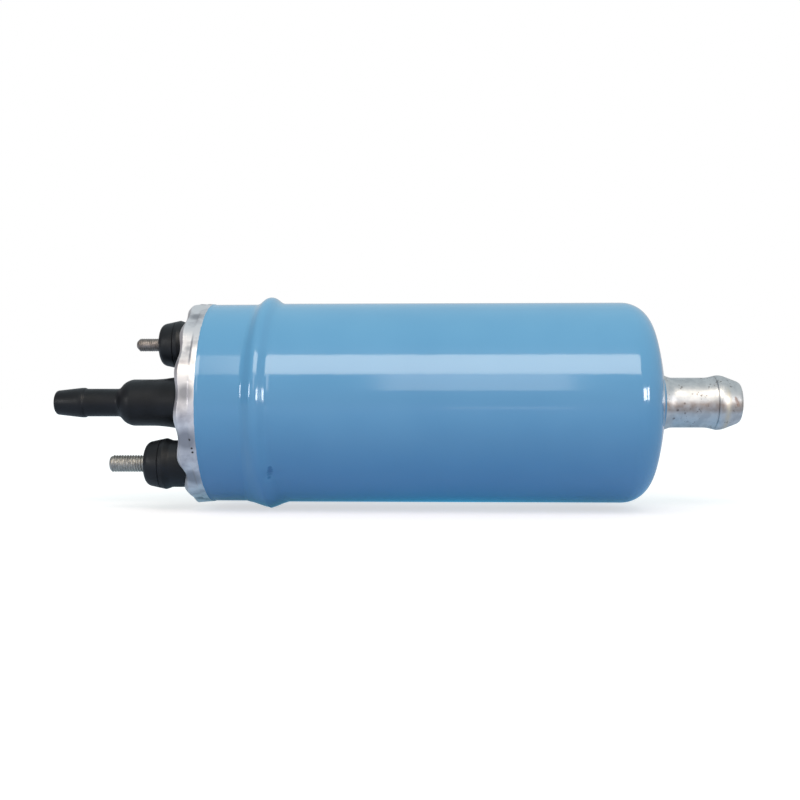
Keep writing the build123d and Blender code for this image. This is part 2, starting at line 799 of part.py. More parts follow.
export_step(brush_holder.part, "parts/brush_holder.step")

# Carbon brushes, hollowed to the commutator, each with its spring behind it
brush_foot = commutator_r + running
for name, terminal in terminals.items():
    side = terminal["side"]
    with BuildPart() as brush:
        with BuildSketch(Plane.XY) as brush_section:
            with Locations((brush_x, 0)):
                Rectangle(brush_depth, brush_width)
        extrude(brush_section.sketch, side * (brush_foot + brush_length))
        revolve(band(bar_x, riser_x, 0, brush_foot), axis=Axis.X, mode=Mode.SUBTRACT)
    brush.part.label = f"brush_{name}"
    export_step(brush.part, f"parts/brush_{name}.step")

    with BuildPart() as brush_spring:
        start = brush_foot + brush_length + running
        with BuildSketch(Plane.XY.offset(side * start)) as coil:
            with Locations((brush_x, 0)):
                Circle(brush_spring_r)
                Circle(brush_spring_r - spring_wall, mode=Mode.SUBTRACT)
        extrude(coil.sketch, side * (brush_guide_out_r - brush_cap_t - start))
    brush_spring.part.label = f"brush_spring_{name}"
    export_step(brush_spring.part, f"parts/brush_spring_{name}.step")

# End cover: a cast cup with the bearing boss, the outlet thread and two terminal holes
chamber_end_x = boss_x - bush_length
groove_x = cover_inner_x + cover_groove_in
with BuildPart() as end_cover:
    revolve(
        section(
            (cover_x, outlet_thread_r + snug),
            (cover_inner_x, outlet_thread_r + snug),
            (cover_inner_x, cover_gallery_r),
            (chamber_end_x, cover_gallery_r),
            (chamber_end_x, bush_outer_r + snug),
            (boss_x, bush_outer_r + snug),
            (boss_x, cover_boss_r),
            (cover_inner_x, cover_boss_r + cover_boss_draft),
            (cover_inner_x, plate_r - cover_wall),
            (cover_edge_x, plate_r - cover_wall),
            (cover_edge_x, plate_r),
            (groove_x + cover_groove_width, plate_r),
            (groove_x + cover_groove_width, plate_r - cover_groove_depth),
            (groove_x, plate_r - cover_groove_depth),
            (groove_x, plate_r),
            (cover_x, plate_r),
        ),
        axis=Axis.X,
    )
    with Locations(Plane.YZ.offset(cover_x)):
        with PolarLocations(terminal_circle_r, 2, terminal_angle):
            Cylinder(terminal_spigot_r + snug, 3 * cover_end_t, mode=Mode.SUBTRACT)
    with Locations(Plane.YZ.offset((cover_inner_x + chamber_end_x) / 2)):
        for turn in (0, 90):
            Cylinder(cover_port_r, 2.2 * cover_boss_r, rotation=(90, turn, 0), mode=Mode.SUBTRACT)
end_cover.part.label = "end_cover"
export_step(end_cover.part, "parts/end_cover.step")

with BuildPart() as cover_seal_ring:
    groove_floor_r = plate_r - cover_groove_depth
    revolve(seal_section(groove_x, groove_x + cover_groove_width, groove_floor_r), axis=Axis.X)
cover_seal_ring.part.label = "cover_seal_ring"
export_step(cover_seal_ring.part, "parts/cover_seal_ring.step")

# Terminals: a threaded stud through an outer insulator, a seal and an inner insulator
spigot_end = terminal_spigot_length
seal_end = spigot_end + stud_seal_t
head_start = cover_end_t + inner_insulator_t + strip_t
for name, terminal in terminals.items():
    stud_r = terminal["stud_r"]
    shank_r = terminal["shank_r"]
    turn = terminal_angle if terminal["side"] > 0 else terminal_angle + 180
    across = terminal_circle_r * cos(turn * pi / 180)
    up = terminal_circle_r * sin(turn * pi / 180)
    stud_axis = Axis((0, across, up), (1, 0, 0))
    stud_line = Plane(origin=(cover_x, across, up), x_dir=(1, 0, 0), z_dir=(0, -1, 0))
    tip = -insulator_face_out - terminal["stand_out"]

    with BuildPart() as terminal_stud:
        with BuildSketch(stud_line) as profile:
            with BuildLine():
                Polyline(
                    (tip, 0),
                    (tip, stud_r - stud_chamfer),
                    (tip + stud_chamfer, stud_r),
                    (-insulator_face_out - stud_runout, stud_r),
                    (-insulator_face_out, shank_r),
                    (head_start, shank_r),
                    (head_start, stud_head_r),
                    (head_start + stud_head_t, stud_head_r),
                    (head_start + stud_head_t, 0),
                    close=True,
                )
            make_face()
        revolve(profile.sketch, axis=stud_axis)
    terminal_stud.part.label = f"terminal_stud_{name}"
    export_step(terminal_stud.part, f"parts/terminal_stud_{name}.step")

    with BuildPart() as insulator:
        with BuildSketch(stud_line) as profile:
            with BuildLine():
                Polyline(
                    (spigot_end, stud_r + snug),
                    (-insulator_face_out, stud_r + snug),
                    (-insulator_face_out, insulator_face_r),
                    (-insulator_face_out + insulator_corner, insulator_face_r + insulator_corner),
                    (-insulator_ridge_out, insulator_ridge_r),
                    (-insulator_neck_out, insulator_neck_r),
                    (0, insulator_neck_r),
                    (0, terminal_spigot_r),
                    (spigot_end, terminal_spigot_r),
                    close=True,
                )
            make_face()
        revolve(profile.sketch, axis=stud_axis)
    insulator.part.label = f"insulator_{name}"
    export_step(insulator.part, f"parts/insulator_{name}.step")

    with BuildPart() as stud_seal:
        with BuildSketch(stud_line) as profile:
            with BuildLine():
                Polyline(
                    (spigot_end, stud_r + snug),
                    (seal_end, stud_r + snug),
                    (seal_end, terminal_spigot_r),
                    (spigot_end, terminal_spigot_r),
                    close=True,
                )
            make_face()
        revolve(profile.sketch, axis=stud_axis)
    stud_seal.part.label = f"stud_seal_{name}"
    export_step(stud_seal.part, f"parts/stud_seal_{name}.step")

    with BuildPart() as inner_insulator:
        with BuildSketch(stud_line) as profile:
            with BuildLine():
                Polyline(
                    (seal_end, stud_r + snug),
                    (cover_end_t + inner_insulator_t, stud_r + snug),
                    (cover_end_t + inner_insulator_t, inner_insulator_r),
                    (cover_end_t, inner_insulator_r),
                    (cover_end_t, terminal_spigot_r),
                    (seal_end, terminal_spigot_r),
                    close=True,
                )
            make_face()
        revolve(profile.sketch, axis=stud_axis)
    inner_insulator.part.label = f"inner_insulator_{name}"
    export_step(inner_insulator.part, f"parts/inner_insulator_{name}.step")

    # Brass strip from under the stud's head out to the skirt and along it to the brush holder
    strip_x = cover_inner_x + inner_insulator_t
    strip_r = plate_r - cover_wall - snug
    with BuildPart() as terminal_strip:
        with BuildSketch(Plane.YZ.offset(strip_x)) as pad:
            with Locations((across, up)):
                Circle(stud_head_r)
            with Locations(Location((across, up), turn)):
                with Locations((stud_head_r, 0)):
                    Rectangle(2 * stud_head_r, strip_width)
            Circle(strip_r, mode=Mode.INTERSECT)
            with Locations((across, up)):
                Circle(stud_r + snug, mode=Mode.SUBTRACT)
        extrude(pad.sketch, strip_t)
        with BuildSketch(Plane.YZ.offset(strip_x)) as leg:
            Circle(strip_r)
            Circle(strip_r - strip_t, mode=Mode.SUBTRACT)
            with Locations(Location((across, up), turn)):
                Rectangle(4 * stud_head_r, strip_width, mode=Mode.INTERSECT)
        extrude(leg.sketch, cover_edge_x - strip_x)
    terminal_strip.part.label = f"terminal_strip_{name}"
    export_step(terminal_strip.part, f"parts/terminal_strip_{name}.step")

# Outlet nipple: hose barb, body and hexagon, with the check valve in its chamber
outlet_washer_x = cover_x - outlet_washer_t
hex_x = outlet_washer_x - outlet_hex_t
flare_x = hex_x - outlet_flare_length
body_x = flare_x - outlet_body_length
shoulder_out_x = body_x - outlet_shoulder_length
shank_x = shoulder_out_x - outlet_shank_length
outlet_tip_x = shank_x - outlet_barb_length
thread_end_x = cover_x + outlet_thread_length
seat_x = thread_end_x - valve_seat_t
poppet_x = seat_x - running
poppet_back_x = poppet_x - poppet_rim_t - poppet_cone
guide_x = poppet_back_x - valve_spring_length - valve_guide_t
with BuildPart() as outlet_nipple:
    with BuildSketch(Plane.XY) as outlet_outline:
        with BuildLine():
            Polyline(
                (outlet_tip_x, outlet_bore_r),
                (outlet_tip_x, outlet_r - outlet_tip_drop),
                (shank_x - outlet_barb_back - outlet_barb_crest, outlet_barb_r),
                (shank_x - outlet_barb_back, outlet_barb_r),
                (shank_x, outlet_r),
                (shoulder_out_x, outlet_r),
                (shoulder_out_x + outlet_shoulder_run, outlet_body_r - outlet_shoulder_drop),
                (body_x, outlet_body_r),
                (flare_x, outlet_body_r),
                (hex_x, outlet_flare_r),
                (outlet_washer_x, outlet_flare_r),
                (outlet_washer_x, outlet_thread_r),
                (thread_end_x, outlet_thread_r),
                (thread_end_x, valve_chamber_r),
                (guide_x, valve_chamber_r),
                (guide_x, outlet_gallery_r),
                (body_x, outlet_gallery_r),
                (shoulder_out_x, outlet_bore_r),
                close=True,
            )
        make_face()
        tip = outlet_outline.vertices().filter_by(lambda v: v.X < outlet_tip_x + trace)
        fillet(tip.sort_by(Axis.Y)[-1], outlet_tip_round)
    revolve(axis=Axis.X)
    with BuildSketch(Plane.YZ.offset(hex_x)):
        RegularPolygon(outlet_hex_af / 2, 6, major_radius=False)
        Circle(outlet_body_r, mode=Mode.SUBTRACT)
    extrude(amount=outlet_hex_t)
outlet_nipple.part.label = "outlet_nipple"
export_step(outlet_nipple.part, "parts/outlet_nipple.step")

with BuildPart() as outlet_washer:
    washer_out_r = outlet_hex_af / 2
    revolve(band(outlet_washer_x, cover_x, outlet_thread_r + snug, washer_out_r), axis=Axis.X)
outlet_washer.part.label = "outlet_washer"
export_step(outlet_washer.part, "parts/outlet_washer.step")

with BuildPart() as check_valve_seat:
    revolve(band(seat_x, thread_end_x, valve_seat_hole_r, valve_chamber_r - snug), axis=Axis.X)
check_valve_seat.part.label = "check_valve_seat"
export_step(check_valve_seat.part, "parts/check_valve_seat.step")

# The poppet's cone closes on the seat's edge, and its stem slides in the guide
with BuildPart() as check_valve_poppet:
    revolve(
        section(
            (poppet_back_x - poppet_stem_length, 0),
            (poppet_back_x - poppet_stem_length, poppet_stem_r),
            (poppet_back_x, poppet_stem_r),
            (poppet_back_x, poppet_r),
            (poppet_back_x + poppet_rim_t, poppet_r),
            (poppet_x, valve_seat_hole_r - running),
            (poppet_x + poppet_nose, valve_seat_hole_r - running - poppet_nose),
            (poppet_x + poppet_nose, 0),
        ),
        axis=Axis.X,
    )
check_valve_poppet.part.label = "check_valve_poppet"
export_step(check_valve_poppet.part, "parts/check_valve_poppet.step")

with BuildPart() as check_valve_guide:
    revolve(
        band(guide_x, guide_x + valve_guide_t, poppet_stem_r + running, valve_chamber_r - snug),
        axis=Axis.X,
    )
    with Locations(Plane.YZ.offset(guide_x)):
        with PolarLocations((valve_guide_hub_r + valve_chamber_r) / 2, 4):
            Cylinder(valve_guide_port_r, 4 * valve_guide_t, mode=Mode.SUBTRACT)
check_valve_guide.part.label = "check_valve_guide"
export_step(check_valve_guide.part, "parts/check_valve_guide.step")

with BuildPart() as check_valve_spring:
    revolve(
        band(
            guide_x + valve_guide_t,
            poppet_back_x - running,
            valve_spring_r - spring_wall,
            valve_spring_r,
        ),
        axis=Axis.X,
    )
check_valve_spring.part.label = "check_valve_spring"
export_step(check_valve_spring.part, "parts/check_valve_spring.step")
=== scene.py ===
import json
import random
from functools import partial
from math import asin, atan2, cos, degrees, exp, hypot, pi, radians, sin, sqrt

import bmesh
import bpy
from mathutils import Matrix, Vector


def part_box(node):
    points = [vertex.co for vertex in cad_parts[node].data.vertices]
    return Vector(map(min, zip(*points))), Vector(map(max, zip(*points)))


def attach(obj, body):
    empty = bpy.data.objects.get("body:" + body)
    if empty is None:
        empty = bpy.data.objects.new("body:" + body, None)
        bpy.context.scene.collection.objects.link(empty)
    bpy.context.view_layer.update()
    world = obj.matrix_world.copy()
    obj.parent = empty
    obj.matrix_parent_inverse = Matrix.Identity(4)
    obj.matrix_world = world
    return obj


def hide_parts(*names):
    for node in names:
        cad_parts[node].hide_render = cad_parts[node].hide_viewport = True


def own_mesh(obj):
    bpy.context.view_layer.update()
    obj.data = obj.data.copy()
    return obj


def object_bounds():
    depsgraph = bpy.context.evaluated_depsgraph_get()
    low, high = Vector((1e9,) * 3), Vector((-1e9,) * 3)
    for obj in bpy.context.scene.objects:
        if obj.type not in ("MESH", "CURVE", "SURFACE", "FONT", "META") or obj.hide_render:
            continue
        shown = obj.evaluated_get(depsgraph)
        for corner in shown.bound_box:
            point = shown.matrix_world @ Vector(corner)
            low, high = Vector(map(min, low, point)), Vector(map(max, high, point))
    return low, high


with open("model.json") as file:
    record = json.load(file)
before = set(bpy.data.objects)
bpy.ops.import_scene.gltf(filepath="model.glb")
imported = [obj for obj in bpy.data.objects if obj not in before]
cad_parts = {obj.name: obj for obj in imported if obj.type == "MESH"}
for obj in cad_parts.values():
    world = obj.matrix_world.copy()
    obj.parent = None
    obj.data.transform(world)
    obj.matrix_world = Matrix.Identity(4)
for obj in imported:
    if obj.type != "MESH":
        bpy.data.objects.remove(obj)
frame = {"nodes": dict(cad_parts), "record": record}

# The pump lies along X, outlet on the left. Sizes are in millimetres unless a note says otherwise.
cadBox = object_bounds()
mm = 0.001


# Stations and radii read from the frame

def low(node):
    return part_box(node)[0] / mm


def high(node):
    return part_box(node)[1] / mm


rimX = low("housing_can").x
domeTopX = high("housing_can").x
coverX = low("end_cover").x
ends = [round(corner[0] / mm, 1) for corner in cadBox]
print("frame loaded, pump from", ends[0], "to", ends[1], "mm")


# Node trees: one small function adds a node with its settings and links

def live(sockets, key=None):
    # the socket of this number, or the one in use of this name, or else the first in use
    if isinstance(key, int):
        return sockets[key]
    return next(socket for socket in sockets if socket.enabled and key in (None, socket.name))


def wire(node, values, links):
    # sets and links a node's inputs; where a link starts at a node, its first output is meant
    for socket, value in values.items():
        value = toLinear(value) if isinstance(value, str) else value
        live(node.inputs, socket).default_value = value
    for socket, source in links.items():
        if isinstance(source, bpy.types.Node):
            source = live(source.outputs)
        node.id_data.links.new(source, live(node.inputs, socket))


def addNode(tree, kind, values=None, links=None, stops=None, **settings):
    node = tree.nodes.new("ShaderNode" + kind)
    for name, setting in settings.items():
        setattr(node, name, setting)
    wire(node, values or {}, links or {})
    if stops:
        ramp = node.color_ramp.elements
        while len(ramp) < len(stops):
            ramp.new(1.0)
        for element, (place, colour) in zip(ramp, stops):
            element.position = place
            element.color = colour
    return node


def toLinear(hexColour):
    channels = [int(hexColour[start:start + 2], 16) / 255 for start in (1, 3, 5)]
    linear = [c / 12.92 if c <= 0.04045 else ((c + 0.055) / 1.055) ** 2.4 for c in channels]
    return (*linear, 1.0)


def tones(places, *hexColours):
    # the stops of a ramp
    return [(place, toLinear(colour)) for place, colour in zip(places, hexColours)]


def perMetre(size):
    # a noise texture's scale for a feature of this size
    return 1 / (size * mm)


def startTree(holder):
    # empties the nodes of a material or world and gives back their own addNode
    holder.use_nodes = True
    holder.node_tree.nodes.clear()
    return partial(addNode, holder.node_tree)


def startFinish(name):
    finish = bpy.data.materials.new(name)
    add = startTree(finish)
    place = add("TexCoord").outputs["Object"]
    surface = add("BsdfPrincipled")
    add("OutputMaterial", links={"Surface": surface})
    return finish, add, place, surface


def spotMask(add, place, spots):
    # 1 in the middle of each spot, 0 outside; a spot is its place and radius
    mask = None
    for *centre, radius in spots:
        away = add("VectorMath", {1: tuple(Vector(centre) * mm)}, {0: place}, operation="DISTANCE")
        spot = add("MapRange", {"From Min": radius * mm, "From Max": radius * mm / 2},
                   {"Value": away})
        if mask:
            spot = add("Math", links={0: mask, 1: spot}, operation="MAXIMUM")
        mask = spot
    return mask


# Blue can: gloss enamel sprayed on deep-drawn steel and baked. The eye sees one even mid blue with
# a sharp gloss that breaks up in a fine orange peel, and bright bare steel on the rolled rim.
enamel = {
    "blue": "#6AA3C8",
    "blueDeep": "#659FC5",
    "shadePatch": 26.0,
    "shadeStops": (0.35, 0.65),  # in the patch noise, where the deep blue ends and the blue begins
    "peel": 1.1,  # orange peel, crest to crest
    "peelHeight": 0.005,
    "ripple": 7.0,  # long wave in the film
    "rippleHeight": 0.012,
    "roughness": 0.1,
    "gloss": 0.8,  # specular level of a thick baked film
    "bareLength": 6.1,  # the paint starts this far behind the rim's face
    "edgeWander": 0.3,
    "edgeWave": 1.6,
    "edgeSoft": 0.1,
    "steel": "#EAE4E3",
    "steelDark": "#B8B2B4",
    "steelPatch": 4.5,
    "steelStops": (0.3, 0.55),
    "steelRoughness": 0.42,
    "toolLine": 0.3,  # fine lines round the rim, left by the crimping tool
    "toolLineHeight": 0.01,
    "toolLineStretch": 0.06,  # scale of their noise across the axis
    "pressed": "#A6A3A6",  # painted shade: darker steel in each hollow of the crimping tool
    "pressTurn": 20.4,  # of the first hollow, in degrees from the Y axis
    # radii of the painted shade marks, one in each hollow
    "hollowShadeRadii": (3.0, 2.2, 3.4, 2.8, 2.4, 1.6, 3.2, 4.4, 3.6, 2.6, 3.2, 2.4, 3.4, 2.8),
    "hollowShadeCircle": (-73.6, 28.8),  # station and radius that the marks lie on
    "dentShade": "#4480AC",  # painted shade in the dent that the knock left on the bead
    "dentShadeSpots": ((-50.8, -24.1, -18.3, 0.8), (-50.8, -23.6, -19.0, 1.0), (-50.9, -23.1, -19.7, 1.1),
                (-51.0, -22.5, -20.5, 1.0), (-51.2, -21.9, -21.3, 0.8)),
    "nick": "#4A4440",
    "nicks": ((-72.7, -28.2, -10.3, 0.5), (-72.2, -27.2, -12.7, 0.4), (-72.1, -26.7, -13.9, 0.45)),
}


def blueEnamel():
    finish, add, place, surface = startFinish("gloss_enamel_on_drawn_steel")
    along = add("SeparateXYZ", links={0: place}).outputs["X"]
    wander = add("TexNoise", {"Scale": perMetre(enamel["edgeWave"]), "Detail": 2.0}, {0: place})
    shift = add("Math", {1: enamel["edgeWander"] * mm}, {0: wander}, operation="MULTIPLY")
    edge = add("Math", links={0: along, 1: shift}, operation="ADD")
    edgeX = (rimX + enamel["bareLength"] + enamel["edgeWander"] / 2) * mm
    bare = add("MapRange", {"From Min": edgeX - enamel["edgeSoft"] * mm, "From Max": edgeX,
                            "To Min": 1.0, "To Max": 0.0}, {"Value": edge})
    shade = add("TexNoise", {"Scale": perMetre(enamel["shadePatch"])}, {0: place})
    blue = add("ValToRGB", links={0: shade},
               stops=tones(enamel["shadeStops"], enamel["blueDeep"], enamel["blue"]))
    # painted shade: darker blue spots in the dent on the bead
    dentShadeMask = spotMask(add, place, enamel["dentShadeSpots"])
    dentShaded = add("Mix", {"B": enamel["dentShade"]}, {"Factor": dentShadeMask, "A": blue}, data_type="RGBA")
    patch = add("TexNoise", {"Scale": perMetre(enamel["steelPatch"]), "Detail": 4.0}, {0: place})
    steel = add("ValToRGB", links={0: patch},
                stops=tones(enamel["steelStops"], enamel["steelDark"], enamel["steel"]))
    # painted shade: a darker steel mark in each hollow round the rim, where the hollows fall into
    # shade
    station, circle = enamel["hollowShadeCircle"]
    hollowShadeMarks = []
    for step, radius in enumerate(enamel["hollowShadeRadii"]):
        turn = radians(enamel["pressTurn"] + 360 * step / len(enamel["hollowShadeRadii"]))
        hollowShadeMarks.append((station, circle * cos(turn), circle * sin(turn), radius))
    dull, nicks = spotMask(add, place, hollowShadeMarks), spotMask(add, place, enamel["nicks"])
    hollowShaded = add("Mix", {"B": enamel["pressed"]}, {"Factor": dull, "A": steel}, data_type="RGBA")
    nicked = add("Mix", {"B": enamel["nick"]}, {"Factor": nicks, "A": hollowShaded}, data_type="RGBA")
    colour = add("Mix", links={"Factor": bare, "A": dentShaded, "B": nicked}, data_type="RGBA")
    rough = add("MapRange", {"To Min": enamel["roughness"], "To Max": enamel["steelRoughness"]},
                {"Value": bare})
    peel = add("TexNoise", {"Scale": perMetre(enamel["peel"]), "Detail": 1.5}, {0: place})
    ripple = add("TexNoise", {"Scale": perMetre(enamel["ripple"]), "Detail": 0.0}, {0: place})
    stretch = enamel["toolLineStretch"]
    roundRim = add("Mapping", {"Scale": (1, stretch, stretch)}, {0: place})
    lines = add("TexNoise", {"Scale": perMetre(enamel["toolLine"]), "Detail": 1.0},
                {"Vector": roundRim})
    lineHeight = add("Math", {1: enamel["toolLineHeight"] / enamel["peelHeight"]}, {0: lines},
                     operation="MULTIPLY")
    height = add("Mix", links={"Factor": bare, "A": peel, "B": lineHeight})
    longWave = add("Bump", {"Distance": enamel["rippleHeight"] * mm}, {"Height": ripple})
    film = add("Bump", {"Distance": enamel["peelHeight"] * mm},
               {"Height": height, "Normal": longWave})
    wire(surface, {"Specular IOR Level": enamel["gloss"]},
         {"Base Color": colour, "Roughness": rough, "Metallic": bare, "Normal": film})
    return finish


# Plain finishes. Each has two colours that a patch noise mixes, a roughness range and a grain,
# with the sizes of a patch and a grain and the grain's height.
looks = {
    # zinc plate, clear passivated: warm grey with a satin gleam and faint cloudy patches
    "zinc_plated_steel": {"tones": ("#ABA7A2", "#CBC6BE"), "patch": 3.0, "metallic": 1.0,
                          "roughness": (0.4, 0.52), "grain": 0.5, "height": 0.003},
    # the same plate gone dull and brown with handling
    "zinc_plate_tarnished": {"tones": ("#7C736D", "#A09690"), "patch": 2.0, "metallic": 1.0,
                             "roughness": (0.44, 0.58), "grain": 0.5, "height": 0.004},
    # black phosphate and oil on turned steel: near black, soft sheen, slightly mottled
    "phosphated_steel": {"tones": ("#0B0B0E", "#161518"), "patch": 5.0,
                         "roughness": (0.34, 0.48), "grain": 0.45, "height": 0.006, "gloss": 0.34},
    # glass-filled nylon, moulded: charcoal, satin, with the faint grain of the fibres at the skin
    "moulded_nylon_black": {"tones": ("#0C0C0F", "#17171A"), "patch": 4.0,
                            "roughness": (0.38, 0.52), "grain": 0.35, "height": 0.006,
                            "gloss": 0.38},
    # natural nylon, machined or moulded: warm white, waxy
    "natural_nylon": {"tones": ("#D8D2BF", "#E6E1D2"), "patch": 6.0,
                      "roughness": (0.35, 0.45), "grain": 0.5, "height": 0.004},
    # nitrile rubber, moulded: dull black with a dusty bloom
    "nitrile_rubber": {"tones": ("#161616", "#242424"), "patch": 3.0,
                       "roughness": (0.6, 0.75), "grain": 0.3, "height": 0.01},
    # die-cast aluminium: light grey, matt skin with flow patches
    "die_cast_aluminium": {"tones": ("#A9A9A8", "#C9C9C7"), "patch": 6.0, "metallic": 1.0,
                           "roughness": (0.42, 0.58), "grain": 0.6, "height": 0.015},
    # sintered and ground steel: mid grey, fine open pores
    "sintered_steel": {"tones": ("#6E6D6C", "#8D8C8A"), "patch": 1.2, "metallic": 1.0,
                       "roughness": (0.3, 0.45), "grain": 0.2, "height": 0.006},
    # drawn spring wire: bright with drawing lines
    "drawn_spring_steel": {"tones": ("#8B8A88", "#B5B3B0"), "patch": 1.5, "metallic": 1.0,
                           "roughness": (0.22, 0.34), "grain": 0.2, "height": 0.002},
    # ground ferrite: charcoal ceramic, slightly sparkling
    "ground_ferrite": {"tones": ("#2A2A2C", "#3B3B3E"), "patch": 1.0,
                       "roughness": (0.4, 0.55), "grain": 0.25, "height": 0.008},
    # sintered bronze, full of oil: warm brown gold with dark pores
    "sintered_bronze": {"tones": ("#7A5330", "#A97C4B"), "patch": 0.8, "metallic": 1.0,
                        "roughness": (0.32, 0.46), "grain": 0.2, "height": 0.006},
    # pressed brass strip: yellow, slightly tarnished
    "pressed_brass": {"tones": ("#A9853F", "#D2B267"), "patch": 5.0, "metallic": 1.0,
                      "roughness": (0.24, 0.36), "grain": 0.4, "height": 0.003},
    # pressed carbon: soft black, dusty
    "pressed_carbon": {"tones": ("#1B1B1C", "#303031"), "patch": 0.6,
                       "roughness": (0.55, 0.7), "grain": 0.2, "height": 0.008},
}
toneStops = (0.35, 0.62)  # in the patch noise, where a plain finish changes colour
roughSpan = (0.3, 0.7)  # and roughness


def plainFinish(name):
    look = looks[name]
    finish, add, place, surface = startFinish(name)
    patch = add("TexNoise", {"Scale": perMetre(look["patch"]), "Detail": 4.0}, {0: place})
    colour = add("ValToRGB", links={0: patch}, stops=tones(toneStops, *look["tones"]))
    bright, dull = look["roughness"]
    rough = add("MapRange", {"From Min": roughSpan[0], "From Max": roughSpan[1],
                             "To Min": dull, "To Max": bright}, {"Value": patch})
    grain = add("TexNoise", {"Scale": perMetre(look["grain"]), "Detail": 2.0}, {0: place})
    skin = add("Bump", {"Distance": look["height"] * mm}, {"Height": grain})
    constants = {"Metallic": look.get("metallic", 0.0)}
    if "gloss" in look:
        constants["Specular IOR Level"] = look["gloss"]
    wire(surface, constants, {"Base Color": colour, "Roughness": rough, "Normal": skin})
    return finish


# Inlet nipple: zinc plate that has been handled and stored damp. Bluish satin metal with small dark
# pits, a cream bloom round the barb, a rust streak towards the tip, and a painted reflection in a
# brownish band along the front. Marks on the side that faces -Y are given by station, height and
# radius.
stainsAndReflection = {
    "zinc": "#D2CFCD",
    "zincDull": "#BFBEBE",
    "cloud": 2.6,
    "cloudStops": (0.38, 0.58),  # in the cloud noise, where the dull zinc ends and the clean begins
    "roughness": (0.36, 0.48),
    "roughSpan": (0.35, 0.65),  # in it too, from the dullest to the brightest
    "skinHeight": 0.006,
    "pit": "#6B615C",
    "pitSize": 0.5,
    "pitGather": 3.2,  # size of the patches that pits gather in
    "pitShare": 0.66,
    "pitEdge": 0.12,
    "pitDepth": 1.3,
    "pits": ((68.4, 4.6, 0.4), (67.7, 5.2, 0.3), (68.0, 4.2, 0.35), (71.2, 2.6, 0.35),
             (72.6, 2.5, 0.4), (73.0, 3.0, 0.3), (76.9, 5.4, 0.35), (75.3, 2.1, 0.25),
             (66.9, -2.2, 0.5), (66.0, -4.6, 0.5), (69.1, -3.1, 0.4), (68.9, -0.2, 0.4),
             (82.1, 6.3, 0.5), (81.6, 5.6, 0.4), (82.6, 4.7, 0.4), (82.2, 3.2, 0.3),
             (83.8, 3.4, 0.35), (85.0, 3.9, 0.4), (85.8, 5.0, 0.5)),
    "rust": "#96592F",
    "rustDepth": 1.5,
    "rustMarks": ((83.9, 1.5, 0.6), (84.1, 1.1, 0.8), (84.3, 0.6, 0.9), (84.6, 0.1, 1.0),
                  (84.8, -0.4, 1.0), (85.0, -0.9, 1.0), (85.2, -1.4, 0.9), (85.4, -1.8, 0.7)),
    "film": "#A8998F",  # painted reflection: a brownish band along the front, at and just below the shank's middle height
    "reflectionBand": (-3.4, -2.2, -0.4, 0.9),  # heights where it starts, is full, begins to end, ends
    "reflectionFront": (-3.0, -5.0),  # places along Y where it starts and is full
    "reflectionDepth": 1.6,
    "bloom": 1.5,  # size of the patches in the painted reflection band and the bloom
    "cream": "#D8CAB6",
    "creamBand": (80.5, 82.9),  # the bloom's stations
    "creamTop": (5.5, 1.5),  # and the heights over which it fades out upwards
    "creamDepth": 1.8,
}


def reflectionBandShare(add, axes, bloom):
    # how much of the painted reflection lies here: a brownish band along the side that faces -Y
    def risingFrom(start, full, axis):
        return add("MapRange", {"From Min": start * mm, "From Max": full * mm},
                   {"Value": axes.outputs[axis]})

    lowest, lowFull, highFull, highest = stainsAndReflection["reflectionBand"]
    share = add("Math", {1: stainsAndReflection["reflectionDepth"]}, {0: bloom}, operation="MULTIPLY", use_clamp=True)
    for limit in (risingFrom(lowest, lowFull, "Z"), risingFrom(highest, highFull, "Z"),
                  risingFrom(*stainsAndReflection["reflectionFront"], "Y")):
        share = add("Math", links={0: share, 1: limit}, operation="MULTIPLY")
    return share


